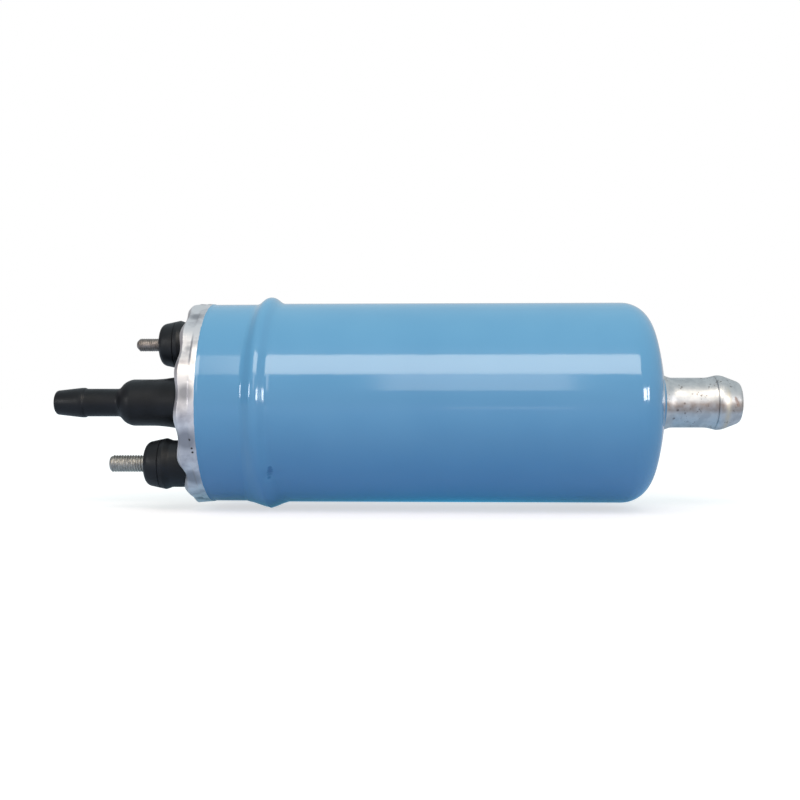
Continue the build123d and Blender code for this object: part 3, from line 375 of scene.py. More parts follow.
def zincStainsAndReflection():
    finish, add, place, surface = startFinish("zinc_plate_stains_and_reflection")

    def onFront(marks):
        return [(x, -sqrt(inlet["radius"] ** 2 - z * z), z, radius) for x, z, radius in marks]

    axes = add("SeparateXYZ", links={0: place})
    cloud = add("TexNoise", {"Scale": perMetre(stainsAndReflection["cloud"]), "Detail": 4.0}, {0: place})
    zinc = add("ValToRGB", links={0: cloud},
               stops=tones(stainsAndReflection["cloudStops"], stainsAndReflection["zincDull"], stainsAndReflection["zinc"]))
    bloom = add("TexNoise", {"Scale": perMetre(stainsAndReflection["bloom"]), "Detail": 5.0}, {0: place})

    # cream bloom round the barb
    creamFrom, creamTo = stainsAndReflection["creamBand"]
    middle = (creamFrom + creamTo) / 2
    away = add("Math", {1: middle * mm}, {0: axes.outputs["X"]}, operation="SUBTRACT")
    apart = add("Math", links={0: away}, operation="ABSOLUTE")
    band = add("MapRange", {"From Min": (creamTo - middle) * mm, "From Max": 0.0,
                            "To Max": stainsAndReflection["creamDepth"]}, {"Value": apart})
    fadeTop, fadeFrom = stainsAndReflection["creamTop"]
    fading = add("MapRange", {"From Min": fadeTop * mm, "From Max": fadeFrom * mm},
                 {"Value": axes.outputs["Z"]})
    faded = add("Math", links={0: band, 1: fading}, operation="MULTIPLY")
    share = add("Math", links={0: faded, 1: bloom}, operation="MULTIPLY", use_clamp=True)
    # painted reflection: a brownish band along the front of the shank
    reflectionShare = reflectionBandShare(add, axes, bloom)
    reflected = add("Mix", {"B": stainsAndReflection["film"]}, {"Factor": reflectionShare, "A": zinc}, data_type="RGBA")
    creamy = add("Mix", {"B": stainsAndReflection["cream"]}, {"Factor": share, "A": reflected}, data_type="RGBA")

    # pits: strewn ones where two noises are both high, and the known ones
    pits = add("TexNoise", {"Scale": perMetre(stainsAndReflection["pitSize"]), "Detail": 3.0}, {0: place})
    gather = add("TexNoise", {"Scale": perMetre(stainsAndReflection["pitGather"])}, {0: place})
    pitted = add("Math", links={0: pits, 1: gather}, operation="ADD")
    full = 2 * stainsAndReflection["pitShare"]
    strewn = add("MapRange", {"From Min": full - stainsAndReflection["pitEdge"], "From Max": full},
                 {"Value": pitted})
    known = spotMask(add, place, onFront(stainsAndReflection["pits"]))
    pit = add("Math", links={0: strewn, 1: known}, operation="MAXIMUM")
    ragged = add("Math", links={0: pit, 1: pits}, operation="MULTIPLY")
    deep = add("Math", {1: stainsAndReflection["pitDepth"]}, {0: ragged}, operation="MULTIPLY", use_clamp=True)
    spotted = add("Mix", {"B": stainsAndReflection["pit"]}, {"Factor": deep, "A": creamy}, data_type="RGBA")

    # rust streak
    marks = spotMask(add, place, onFront(stainsAndReflection["rustMarks"]))
    streak = add("Math", {1: stainsAndReflection["rustDepth"]}, {0: marks}, operation="MULTIPLY")
    rust = add("Math", links={0: streak, 1: bloom}, operation="MULTIPLY", use_clamp=True)
    colour = add("Mix", {"B": stainsAndReflection["rust"]}, {"Factor": rust, "A": spotted}, data_type="RGBA")

    bright, dull = stainsAndReflection["roughness"]
    dullest, brightest = stainsAndReflection["roughSpan"]
    rough = add("MapRange", {"From Min": dullest, "From Max": brightest,
                             "To Min": dull, "To Max": bright}, {"Value": cloud})
    metal = add("Math", {0: 1.0}, {1: rust}, operation="SUBTRACT")
    skin = add("Bump", {"Distance": stainsAndReflection["skinHeight"] * mm}, {"Height": pitted})
    wire(surface, {}, {"Base Color": colour, "Roughness": rough, "Metallic": metal,
                       "Normal": skin})
    return finish


# Laminated core and wound coils keep their lines. The real sheets are 0.5 thick and the wire is 0.6
# across. Their lines are drawn about four times as coarse, so that they show.
lined = {
    "laminated_sheet_steel": {"tones": ("#4E4D4D", "#8A8987"), "pitch": 0.5, "roughness": 0.42},
    "enamelled_copper_wire": {"tones": ("#5E2F17", "#B8683C"), "pitch": 0.6, "roughness": 0.32},
}
lineCoarse = 3.9478
lineStops = (0.1, 0.5)
lineDepth = 0.1  # share of the pitch
waveRate = 20  # radians that a wave texture of scale 1 turns in a metre


def linedFinish(name):
    look = lined[name]
    finish, add, place, surface = startFinish(name)
    scale = perMetre(lineCoarse * look["pitch"]) * 2 * pi / waveRate
    wave = add("TexWave", {"Scale": scale}, {0: place}, bands_direction="X")
    lines = wave.outputs["Fac"]
    colour = add("ValToRGB", links={0: lines}, stops=tones(lineStops, *look["tones"]))
    groove = add("Bump", {"Distance": look["pitch"] * lineDepth * mm}, {"Height": lines})
    wire(surface, {"Metallic": 1.0, "Roughness": look["roughness"]},
         {"Base Color": colour, "Normal": groove})
    return finish


finishes = {
    "blue_painted_steel": blueEnamel(),
    "zinc_plated_steel": plainFinish("zinc_plated_steel"),
    "black_coated_steel": plainFinish("phosphated_steel"),
    "black_plastic": plainFinish("moulded_nylon_black"),
    "nylon": plainFinish("natural_nylon"),
    "nitrile_rubber": plainFinish("nitrile_rubber"),
    "cast_aluminium": plainFinish("die_cast_aluminium"),
    "sintered_steel": plainFinish("sintered_steel"),
    "laminated_steel": linedFinish("laminated_sheet_steel"),
    "spring_steel": plainFinish("drawn_spring_steel"),
    "ferrite": plainFinish("ground_ferrite"),
    "bronze": plainFinish("sintered_bronze"),
    "brass": plainFinish("pressed_brass"),
    "copper": linedFinish("enamelled_copper_wire"),
    "carbon": plainFinish("pressed_carbon"),
}
for subpart in frame["record"]["subparts"]:
    node = frame["nodes"][subpart["node"]]
    if not node.material_slots:
        node.data.materials.append(None)
    for holder in node.material_slots:
        holder.material = finishes[subpart["material_slot"]]
tarnishedPlate = plainFinish("zinc_plate_tarnished")
print("finishes made:", len(finishes) + 1)


# Turned pieces: an outline extruded point by point, its corners bevelled, then spun round the axis

weld = 0.002  # doubled points nearer than this are joined
nearly = 0.01  # tolerance for telling points by their place
roundSteps = 5  # faces across each rounding


def straight(start, end, count):
    # points between two corners, so that a plain stretch has rings to shape
    return [tuple(a + (b - a) * step / count for a, b in zip(start, end)) + (0,)
            for step in range(1, count)]


def turnPiece(name, corners, steps, axisAt=(0.0, 0.0), closed=True):
    # corners: station along X, radius, and how far from the corner its rounding starts
    across, up = axisAt
    places = [Vector((corner[0], across, up + corner[1])) * mm for corner in corners]
    bpy.ops.mesh.primitive_plane_add(size=mm, location=places[0])
    piece = bpy.context.object
    piece.name = piece.data.name = name
    bpy.ops.object.transform_apply()
    bpy.ops.object.mode_set(mode="EDIT")
    bpy.ops.mesh.select_mode(type="VERT")
    bpy.ops.mesh.select_all(action="SELECT")
    bpy.ops.mesh.merge(type="CENTER")
    for here, there in zip(places, places[1:]):
        bpy.ops.mesh.extrude_vertices_move(TRANSFORM_OT_translate={"value": there - here})
    if closed:
        pickPoints(piece, [places[0], places[-1]])
        bpy.ops.mesh.edge_face_add()
    for corner, place in zip(corners, places):
        if corner[2] > 0:
            pickPoints(piece, [place])
            bpy.ops.mesh.bevel(offset=corner[2] * mm, segments=roundSteps, affect="VERTICES")
    bpy.ops.mesh.select_all(action="SELECT")
    bpy.ops.mesh.spin(steps=steps, angle=2 * pi, center=(0, across * mm, up * mm), axis=(1, 0, 0))
    sealMesh()
    return piece


def sealMesh():
    # ends edit mode with doubled points joined and all faces outward
    bpy.ops.mesh.select_all(action="SELECT")
    bpy.ops.mesh.remove_doubles(threshold=weld * mm)
    bpy.ops.mesh.normals_make_consistent(inside=False)
    bpy.ops.object.mode_set(mode="OBJECT")


def pickPoints(piece, places):
    # selects, in edit mode, the one vertex nearest each place
    bpy.ops.mesh.select_all(action="DESELECT")
    mesh = bmesh.from_edit_mesh(piece.data)
    for place in places:
        min(mesh.verts, key=lambda vert: (vert.co - place).length).select = True
    mesh.select_flush_mode()
    bmesh.update_edit_mesh(piece.data)


def selectOnly(piece):
    bpy.ops.object.select_all(action="DESELECT")
    piece.select_set(True)
    bpy.context.view_layer.objects.active = piece


def dress(piece, slot, *nodes, finish=None, body="housing", smooth=35):
    # smooth: edges that turn more than this many degrees stay sharp
    selectOnly(piece)
    bpy.ops.object.shade_smooth_by_angle(angle=radians(smooth))
    piece.data.materials.clear()
    piece.data.materials.append(finish or finishes[slot])
    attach(piece, body)
    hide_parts(*nodes)


# Can

can = {
    "radius": 30.0,
    "wall": 1.5,
    "neckDrop": 0.25,
    "rimRise": 0.3,
    "rimLength": 6.1,
    "rimTaper": 0.4,
    "rimStep": 0.15,
    "rimCorner": 1.2,
    "lipRadius": 27.2,
    "lipRound": 0.25,
    "rimRound": 0.4,
    # bead, as it stands at the top of the can
    "beadLeft": -57.0,
    "beadCrest": (-54.4, -52.7),
    "beadRight": -50.3,
    "beadHeight": 1.9,
    "footRound": 1.0,
    "crestRound": 0.8,
    # it isn't rolled quite true: station, how far it leans along X in front and behind, and
    # how much further underneath
    "beadLean": ((-64.0, 0.0, 0.0), (-57.0, -1.0, -3.6), (-54.4, -1.0, 0.5), (-52.7, -1.0, -0.6),
                 (-50.3, -1.0, 1.4), (-47.0, 0.0, 0.0)),
    "underPower": 4,  # how quickly that fades out round the can
    "domeStart": 51.0,
    "knuckle": 8.5,
    "crown": 75.0,
    "nippleHole": 7.53,
    "collarFoot": 10.4,  # radius where the dome turns up into the brazed collar
    # rise above the dome and radius, halfway up and at the paint's end
    "collarHollow": (0.25, 9.1),
    "collarEnd": (0.9, 8.45),
    "collarRound": 0.6,
    # crimping tool's presses round the rim
    "presses": 14,
    "pressTurn": enamel["pressTurn"],
    "pressReach": 4.5,  # from the rim's face towards the paint
    "pressDepth": (0.6, 0.95),
    "pressBite": 0.8,  # depth on the rim's outside, as a share of that on its face
    "pressFade": 0.45,  # how much shallower it is at its far end
    "pressGrow": 2.0,  # width across the face over which it grows
    "pressEnd": 0.07,  # share of its reach over which it ends
    "pushEnd": 1.6,  # how much sooner the face's own push ends
    "frontPresses": (0.85, 0.65, 0.83, 1.3),  # depths of those in front
    "frontFirst": 5,
    "seed": 4,
    "dent": (-51.3, -22.6, -20.6),  # knock on the bead's steep side
    "dentRadius": 1.5,
    "dentDepth": 0.7,
    "dentReach": 3,  # times its radius
    "dentSlant": -0.6,  # X part of the way out of the dent, beside the dent's own Y and Z
    "steps": 240,
    # faces along each stretch of the outline
    "faces": {"lip": 4, "rimCorner": 4, "rim": 24, "neck": 14, "side": 24, "knuckle": 18,
              "crown": 14, "knuckleInside": 6, "crownInside": 5},
}


def makeCan():
    radius, wall, neck = can["radius"], can["wall"], can["radius"] - can["neckDrop"]
    crestFrom, crestTo = can["beadCrest"]
    crest = radius + can["beadHeight"]
    rimR = radius + can["rimRise"]
    rimEnd = rimX + can["rimLength"]
    neckX = rimEnd + can["rimStep"]
    crownCentre = can["domeStart"] - sqrt((can["crown"] - can["knuckle"]) ** 2
                                          - (radius - can["knuckle"]) ** 2)
    share = asin((radius - can["knuckle"]) / (can["crown"] - can["knuckle"]))
    hollow, hollowRadius = can["collarHollow"]
    collar, collarRadius = can["collarEnd"]
    faces = can["faces"]
    lip, corner = (rimX, can["lipRadius"]), (rimX, rimR - can["rimCorner"])
    edge, paintEnd = (rimX + can["rimCorner"], rimR), (rimEnd, rimR - can["rimTaper"])

    def knuckle(inset, count):
        # from the can's side round to the crown
        centreX, centreR, reach = can["domeStart"], radius - can["knuckle"], can["knuckle"] - inset
        turns = [pi / 2 - (pi / 2 - share) * step / count for step in range(1, count + 1)]
        return [(centreX + reach * cos(turn), centreR + reach * sin(turn), 0) for turn in turns]

    def crown(inset, count, until):
        # from the knuckle in to this radius
        reach = can["crown"] - inset
        end = asin(until / reach)
        turns = [share + (end - share) * step / count for step in range(1, count + 1)]
        return [(crownCentre + reach * cos(turn), reach * sin(turn), 0) for turn in turns]

    outside = [
        (coverX, can["lipRadius"], 0),
        (*lip, can["lipRound"]),
        *straight(lip, corner, faces["lip"]),
        (*corner, can["rimRound"]),
        *straight(corner, edge, faces["rimCorner"]),
        (*edge, can["rimRound"]),
        *straight(edge, paintEnd, faces["rim"]),
        (*paintEnd, 0),
        (neckX, neck, 0),
        *straight((neckX, neck), (can["beadLeft"], neck), faces["neck"]),
        (can["beadLeft"], neck, can["footRound"]),
        (crestFrom, crest, can["crestRound"]),
        (crestTo, crest, can["crestRound"]),
        (can["beadRight"], radius, can["footRound"]),
        *straight((can["beadRight"], radius), (can["domeStart"], radius), faces["side"]),
        (can["domeStart"], radius, 0),
        *knuckle(0, faces["knuckle"]),
        *crown(0, faces["crown"], can["collarFoot"]),
        (domeTopX + hollow, hollowRadius, can["collarRound"]),
        (domeTopX + collar, collarRadius, 0),
    ]
    inside = [
        *reversed(crown(wall, faces["crownInside"], can["nippleHole"])),
        *reversed(knuckle(wall, faces["knuckleInside"])),
        (can["domeStart"], radius - wall, 0),
        (can["beadRight"], radius - wall, 0),
        (crestTo, crest - wall, 0),
        (crestFrom, crest - wall, 0),
        (can["beadLeft"], radius - wall, 0),
        (coverX, radius - wall, 0),
    ]
    piece = turnPiece("can_shell", outside + inside, can["steps"])
    leanBead(piece)
    pressRim(piece)
    knockBead(piece)
    dress(piece, "blue_painted_steel", "housing_can", smooth=50)


def leanBead(piece):
    stations = can["beadLean"]
    for vert in piece.data.vertices:
        x, y, z = vert.co / mm
        for (here, front, below), (there, nextFront, nextBelow) in zip(stations, stations[1:]):
            if here <= x < there:
                share = (x - here) / (there - here)
                radius = hypot(y, z)
                facing = (y / radius) ** 2
                under = max(0.0, -z / radius) ** can["underPower"]
                lean = (front + (nextFront - front) * share) * facing
                lean += (below + (nextBelow - below) * share) * under
                vert.co.x += lean * mm
                break


def pressRim(piece):
    # each press of the crimping tool pushes the rim's face in and hollows its outside
    draw = random.Random(can["seed"])
    depths = [draw.uniform(*can["pressDepth"]) for _ in range(can["presses"])]
    for step, depth in enumerate(can["frontPresses"]):
        depths[can["frontFirst"] + step] = depth
    for vert in piece.data.vertices:
        x, y, z = vert.co / mm
        radius = hypot(y, z)
        along = (x - rimX) / can["pressReach"]
        within = x > coverX - nearly and radius < can["radius"] - can["wall"] + nearly
        if along > 1 or within:
            continue
        turn = (degrees(atan2(z, y)) - can["pressTurn"]) * can["presses"] / 360
        depth = depths[round(turn) % can["presses"]] * cos(pi * (turn - round(turn))) ** 2
        onFace = min(1.0, max(0.0, radius - can["lipRadius"]) / can["pressGrow"])
        ending = min(1.0, (1 - along) / can["pressEnd"])
        inward = depth * can["pressBite"] * (1 - can["pressFade"] * along) * onFace * ending
        push = depth * max(0.0, 1 - can["pushEnd"] * along)
        scale = (radius - inward) / radius
        vert.co = Vector((x + push, y * scale, z * scale)) * mm


def knockBead(piece):
    centre = Vector(can["dent"])
    out = Vector((can["dentSlant"], centre.y, centre.z)).normalized()
    for vert in piece.data.vertices:
        away = (vert.co / mm - centre).length / can["dentRadius"]
        if away < can["dentReach"]:
            vert.co -= out * can["dentDepth"] * exp(-away ** 2) * mm


makeCan()
print("can made")


# Inlet nipple

inlet = {
    "bore": 5.5,
    "radius": 7.5,
    "seatRadius": 9.5,
    "seatThickness": 1.6,
    "brazeFrom": 0.7,  # bright braze between the paint and the shank, above the dome
    "brazeRadius": 8.6,
    "brazeHollow": (2.0, 7.95),
    "brazeTo": 3.4,
    "barbLength": 9.6,
    "barbRise": 2.8,
    "barbCrest": 1.4,
    "barbRadius": 8.2,
    "barbGroove": 0.2,  # turned in on the barb's rise
    "grooveBack": 0.8,  # how far before the crest
    "tipRadius": 6.3,  # where its cone meets its nose
    "noseLength": 0.5,
    "lipWidth": 0.3,  # of the flat at the very end
    "countersink": 0.4,
    # how far from each corner its rounding starts
    "edgeRound": 0.3,
    "brazeRound": 0.9,
    "barbFoot": 1.0,
    "barbRound": 0.9,
    "noseRound": 0.45,
    "lipRound": 0.15,
    "steps": 128,
}


def makeInletNipple():
    back = low("inlet_nipple").x
    seat = back + inlet["seatThickness"]
    tip = high("inlet_nipple").x
    foot = domeTopX
    barb = tip - inlet["barbLength"]
    crest = barb + inlet["barbRise"]
    groove, cut = crest - inlet["grooveBack"], inlet["barbGroove"]
    hollow, hollowRadius = inlet["brazeHollow"]

    def rise(x):
        share = (x - barb) / inlet["barbRise"]
        return inlet["radius"] + share * (inlet["barbRadius"] - inlet["radius"])

    corners = [
        (back, inlet["bore"], inlet["edgeRound"]),
        (back, inlet["seatRadius"], inlet["edgeRound"]),
        (seat, inlet["seatRadius"], 0),
        (seat, inlet["radius"], 0),
        (foot + inlet["brazeFrom"], inlet["radius"], 0),
        (foot + inlet["brazeFrom"], inlet["brazeRadius"], 0),
        (foot + hollow, hollowRadius, inlet["brazeRound"]),
        (foot + inlet["brazeTo"], inlet["radius"], inlet["brazeRound"]),
        (barb, inlet["radius"], inlet["barbFoot"]),
        (groove - cut, rise(groove - cut), 0),
        (groove, rise(groove) - cut, 0),
        (groove + cut, rise(groove + cut), 0),
        (crest, inlet["barbRadius"], inlet["edgeRound"]),
        (crest + inlet["barbCrest"], inlet["barbRadius"], inlet["barbRound"]),
        (tip - inlet["noseLength"], inlet["tipRadius"], inlet["noseRound"]),
        (tip, inlet["bore"] + inlet["lipWidth"], inlet["lipRound"]),
        (tip - inlet["countersink"], inlet["bore"], 0),
    ]
    piece = turnPiece("inlet_nipple_plated", corners, inlet["steps"])
    dress(piece, "zinc_plated_steel", "inlet_nipple", finish=zincStainsAndReflection())


makeInletNipple()
print("inlet nipple made")


# Outlet nipple

outlet = {
    "bore": 2.5,
    "radius": 4.25,
    "barbRadius": 4.55,
    "barbLength": 9.4,
    "barbCrest": (1.5, 0.4),  # how far before the barb's end its crest starts and ends
    "tipRadius": 3.65,
    "shank": 10.4,
    "shoulder": 3.9,
    "shoulderBreak": (1.9, 0.8),  # on the shoulder, past its start and below the body's radius
    "bodyRadius": 7.1,
    "body": 8.6,
    "flare": 6.0,
    "flareRadius": 8.0,
    "hexagon": 17.0,
    "hexagonThickness": 5.5,
    "hexagonEdge": 0.35,
    "threadRadius": 6.0,
    "chamber": 4.4,
    "chamberFrom": -85.2,
    "gallery": 3.4,
    # how far from each corner its rounding starts
    "edgeRound": 0.2,
    "tipRound": 0.8,
    "crestRound": 0.3,
    "shankRound": 0.7,
    "shoulderRound": 0.8,
    "flareRound": 2.5,
    "endRound": 0.3,
    "hexagonFaces": 3,  # across each rounded edge of the hexagon
    "steps": 96,
}


def makeOutletNipple():
    tip = low("outlet_nipple").x
    end = high("outlet_nipple").x
    shankX = tip + outlet["barbLength"]
    shoulderX = shankX + outlet["shank"]
    bodyX = shoulderX + outlet["shoulder"]
    flareX = bodyX + outlet["body"]
    hexX = flareX + outlet["flare"]
    faceX = hexX + outlet["hexagonThickness"]
    crestStart, crestEnd = outlet["barbCrest"]
    past, below = outlet["shoulderBreak"]
    corners = [
        (tip, outlet["bore"], outlet["edgeRound"]),
        (tip, outlet["tipRadius"], outlet["tipRound"]),
        (shankX - crestStart, outlet["barbRadius"], outlet["crestRound"]),
        (shankX - crestEnd, outlet["barbRadius"], outlet["edgeRound"]),
        (shankX, outlet["radius"], outlet["edgeRound"]),
        (shoulderX, outlet["radius"], outlet["shankRound"]),
        (shoulderX + past, outlet["bodyRadius"] - below, outlet["shoulderRound"]),
        (bodyX, outlet["bodyRadius"], outlet["shankRound"]),
        (flareX, outlet["bodyRadius"], outlet["flareRound"]),
        (hexX, outlet["flareRadius"], 0),
        (faceX, outlet["flareRadius"], 0),
        (faceX, outlet["threadRadius"], 0),
        (end, outlet["threadRadius"], outlet["endRound"]),
        (end, outlet["chamber"], 0),
        (outlet["chamberFrom"], outlet["chamber"], 0),
        (outlet["chamberFrom"], outlet["gallery"], 0),
        (bodyX, outlet["gallery"], 0),
        (shoulderX, outlet["bore"], 0),
    ]
    piece = turnPiece("outlet_nipple_body", corners, outlet["steps"])
    addHexagon(piece, hexX, faceX)
    dress(piece, "black_coated_steel", "outlet_nipple")


def addHexagon(piece, start, end):
    bpy.ops.mesh.primitive_cylinder_add(
        vertices=6, radius=outlet["hexagon"] / sqrt(3) * mm, depth=(end - start) * mm,
        location=((start + end) / 2 * mm, 0, 0), rotation=(0, pi / 2, 0))
    hexagon = bpy.context.object
    bpy.ops.object.transform_apply()
    bpy.ops.object.mode_set(mode="EDIT")
    bpy.ops.mesh.select_all(action="SELECT")
    bpy.ops.mesh.bevel(offset=outlet["hexagonEdge"] * mm, segments=outlet["hexagonFaces"])
    bpy.ops.object.mode_set(mode="OBJECT")
    selectOnly(piece)
    union = piece.modifiers.new("hexagon", "BOOLEAN")
    union.operation = "UNION"
    union.object = hexagon
    bpy.ops.object.modifier_apply(modifier=union.name)
    bpy.data.objects.remove(hexagon)


makeOutletNipple()
print("outlet nipple made")


# Terminals: moulded insulators and threaded studs, opposite each other about the axis

terminal = {
    "circle": 20.0,
    "angle": 64.8,  # degrees from the Y axis
    "faceOut": 14.4,
    "faceRadius": 6.3,
    "faceRound": 1.6,
    "grooveOut": 9.7,  # fine parting groove on the cone
    "grooveWidth": 0.4,
    "grooveDepth": 0.2,
    "ridgeOut": 8.4,
    "ridgeRadius": 7.6,
    "neckOut": 6.6,
    "neckRadius": 6.95,
    "spigot": 5.6,
    "spigotRadius": 4.6,
    "slack": 0.03,
    "headStart": 11.9,
    "headThickness": 2.6,
    "headRadius": 4.5,
    # how far from each corner its rounding starts
    "boreRound": 0.15,
    "ridgeRound": 0.25,
    "edgeRound": 0.3,
    "tipRound": 0.2,
    "steps": 96,
    # thread
    "runout": 0.4,
    "threadCore": 0.3,  # share of the stud's radius inside which no point is moved
    "threadTop": 1.25,  # height and slope of the groove's section, which is cut off at 0 and 1
    "threadSlope": 3.2,
    "threadLast": 0.1,  # share of the depth that is left where it ends
    "facesAPitch": 8,
}
studs = {
    "positive": {"radius": 2.5, "shank": 2.24, "standOut": 10.9, "pitch": 0.8, "side": -1,
                 "groove": 0.32, "chamfer": 0.6, "finish": finishes["zinc_plated_steel"]},
    "negative": {"radius": 2.0, "shank": 1.77, "standOut": 7.9, "pitch": 0.7, "side": 1,
                 "groove": 0.1, "chamfer": 1.0, "finish": tarnishedPlate},
}


def studAxis(side):
    turn = radians(terminal["angle"])
    return side * terminal["circle"] * cos(turn), side * terminal["circle"] * sin(turn)


def makeInsulator(name, stud):
    bore = stud["radius"] + terminal["slack"]
    face = coverX - terminal["faceOut"]
    ridge = coverX - terminal["ridgeOut"]
    groove = coverX - terminal["grooveOut"]
    half = terminal["grooveWidth"] / 2

    def cone(x):
        slope = (terminal["ridgeRadius"] - terminal["faceRadius"]) / (ridge - face)
        return terminal["faceRadius"] + slope * (x - face)

    corners = [
        (coverX + terminal["spigot"], bore, 0),
        (face, bore, terminal["boreRound"]),
        (face, terminal["faceRadius"], terminal["faceRound"]),
        (groove - half, cone(groove - half), 0),
        (groove, cone(groove) - terminal["grooveDepth"], 0),
        (groove + half, cone(groove + half), 0),
        (ridge, terminal["ridgeRadius"], terminal["ridgeRound"]),
        (coverX - terminal["neckOut"], terminal["neckRadius"], terminal["edgeRound"]),
        (coverX, terminal["neckRadius"], 0),
        (coverX, terminal["spigotRadius"], 0),
        (coverX + terminal["spigot"], terminal["spigotRadius"], terminal["edgeRound"]),
    ]
    piece = turnPiece(f"insulator_{name}_moulded", corners, terminal["steps"],
                      studAxis(stud["side"]))
    dress(piece, "black_plastic", f"insulator_{name}")


def makeStud(name, stud):
    axisAt = studAxis(stud["side"])
    tip = coverX - terminal["faceOut"] - stud["standOut"]
    threadEnd = coverX - terminal["faceOut"] - terminal["runout"]
    head = coverX + terminal["headStart"]
    threadFaces = round((threadEnd - tip) / stud["pitch"] * terminal["facesAPitch"])
    first, last = (tip + stud["chamfer"], stud["radius"]), (threadEnd, stud["radius"])
    corners = [
        (tip, 0, 0),
        (tip, stud["radius"] - stud["chamfer"], terminal["tipRound"]),
        (*first, 0),
        *straight(first, last, threadFaces),
        (*last, 0),
        (threadEnd + terminal["runout"], stud["shank"], 0),
        (head, stud["shank"], 0),
        (head, terminal["headRadius"], 0),
        (head + terminal["headThickness"], terminal["headRadius"], terminal["edgeRound"]),
        (head + terminal["headThickness"], 0, 0),
    ]
    piece = turnPiece(f"stud_{name}_threaded", corners, terminal["steps"] // 2, axisAt,
                      closed=False)
    cutThread(piece, stud, axisAt, tip, threadEnd)
    dress(piece, "zinc_plated_steel", f"terminal_stud_{name}", finish=stud["finish"], smooth=30)


def cutThread(piece, stud, axisAt, start, end):
    # a rolled thread: the crest stays at the stud's radius and the groove winds round it
    depth = stud["groove"]
    for vert in piece.data.vertices:
        x, y, z = vert.co / mm
        across, up = y - axisAt[0], z - axisAt[1]
        radius = hypot(across, up)
        inCore = radius < terminal["threadCore"] * stud["radius"]
        if inCore or not start - nearly < x < end + nearly:
            continue
        share = (x / stud["pitch"] - atan2(up, across) / (2 * pi)) % 1
        groove = terminal["threadTop"] - abs(share - 0.5) * terminal["threadSlope"]
        groove = min(1.0, max(0.0, groove))
        limit = min(1.0, (end - x) / stud["pitch"] + terminal["threadLast"])
        cut = min(depth * groove * limit, max(0.0, radius - (stud["radius"] - depth)))
        scale = (radius - cut) / radius
        vert.co = Vector((x, axisAt[0] + across * scale, axisAt[1] + up * scale)) * mm


for studName, studSizes in studs.items():
    makeInsulator(studName, studSizes)
    makeStud(studName, studSizes)
print("terminals made")


# Springs: round wire, wound where the frame has plain sleeves

spring = {
    "wire": 0.5,  # diameter
    "coils": {"brush_spring_positive": 4, "brush_spring_negative": 4,
              "check_valve_spring": 8, "relief_spring": 4},
    "sides": 8,
    "steps": 24,  # round a coil
}


def windSpring(node, letter, fixedEnd):
    # the wire's section is wound up the Z axis, and the coil is then laid in place
    along = "xyz".index(letter)
    lowest, highest = low(node), high(node)
    length = highest[along] - lowest[along]
    radius = (highest.y - lowest.y - spring["wire"]) / 2
    bpy.ops.mesh.primitive_circle_add(vertices=spring["sides"], radius=spring["wire"] / 2 * mm,
                                      location=Vector((radius, 0, spring["wire"] / 2)) * mm,
                                      rotation=(pi / 2, 0, 0))
    piece = bpy.context.object
    piece.name = piece.data.name = f"{node}_wound"
    bpy.ops.object.transform_apply()
    winding = piece.modifiers.new("winding", "SCREW")
    winding.iterations = spring["coils"][node]
    winding.steps = winding.render_steps = spring["steps"]
    winding.screw_offset = (length - spring["wire"]) / spring["coils"][node] * mm
    bpy.ops.object.modifier_apply(modifier=winding.name)
    bpy.ops.object.mode_set(mode="EDIT")
    bpy.ops.mesh.select_all(action="SELECT")
    bpy.ops.mesh.fill_holes(sides=spring["sides"])
    sealMesh()
    foot = (lowest + highest) / 2
    foot[along] = lowest[along]
    piece.location = foot * mm
    if letter == "x":
        piece.rotation_euler = (0, pi / 2, 0)
    bpy.ops.object.transform_apply()
    dress(piece, "spring_steel", node)
    axis, anchor = Vector((0, 0, 0)), foot * mm
    axis[along], anchor[along] = 1, fixedEnd
    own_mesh(piece)


for joint in frame["record"]["behaviour"]["joints"]:
    for sleeve in joint.get("deforming_nodes", []):
        letter = sleeve["mode"][-1]
        windSpring(sleeve["node"], letter, sleeve[f"fixed_end_{letter}_m"])
print("springs wound")


# Stage: white floor and world, a soft key above the front, and small lamps for the sparkle

stage = {
    "floorGap": 0.02,
    "floorSize": 6000.0,
    "paper": (0.42, 0.45, 0.66),  # the floor's colour as it lights the pump, linear
    "paperSeen": (0.58, 0.5, 0.5),  # and as the camera sees it
    "glowNear": (20.0, 0.62),  # distance from the pump, and the glow there for the camera
    "glowFar": (350.0, 0.82),
    "glowStretch": (0.5, 1, 0),  # scales of that distance: the glow reaches further along X
    "glowInGloss": (  # distance, and the glow there in reflections
        (0.0, (0.06, 0.46, 0.74)),
        (50.0, (0.15, 0.16, 0.10)),
        (500.0, (0.38, 0.28, 0.18)),
    ),
    "skyLight": (0.50, 0.70, 0.71),  # the room as a light
    "skyInGloss": (0.60, 0.70, 0.76),  # in reflections, overhead
    "horizonInGloss": (0.60, 0.59, 0.58),
    "horizonTop": 0.6,  # sine of the elevation at which overhead begins
    "dimSide": (0.26, 0.26, 0.28),  # in reflections, the wall beyond the outlet
    "dimFrom": (-0.35, -0.8),  # how far round to it the dimming starts and ends
}
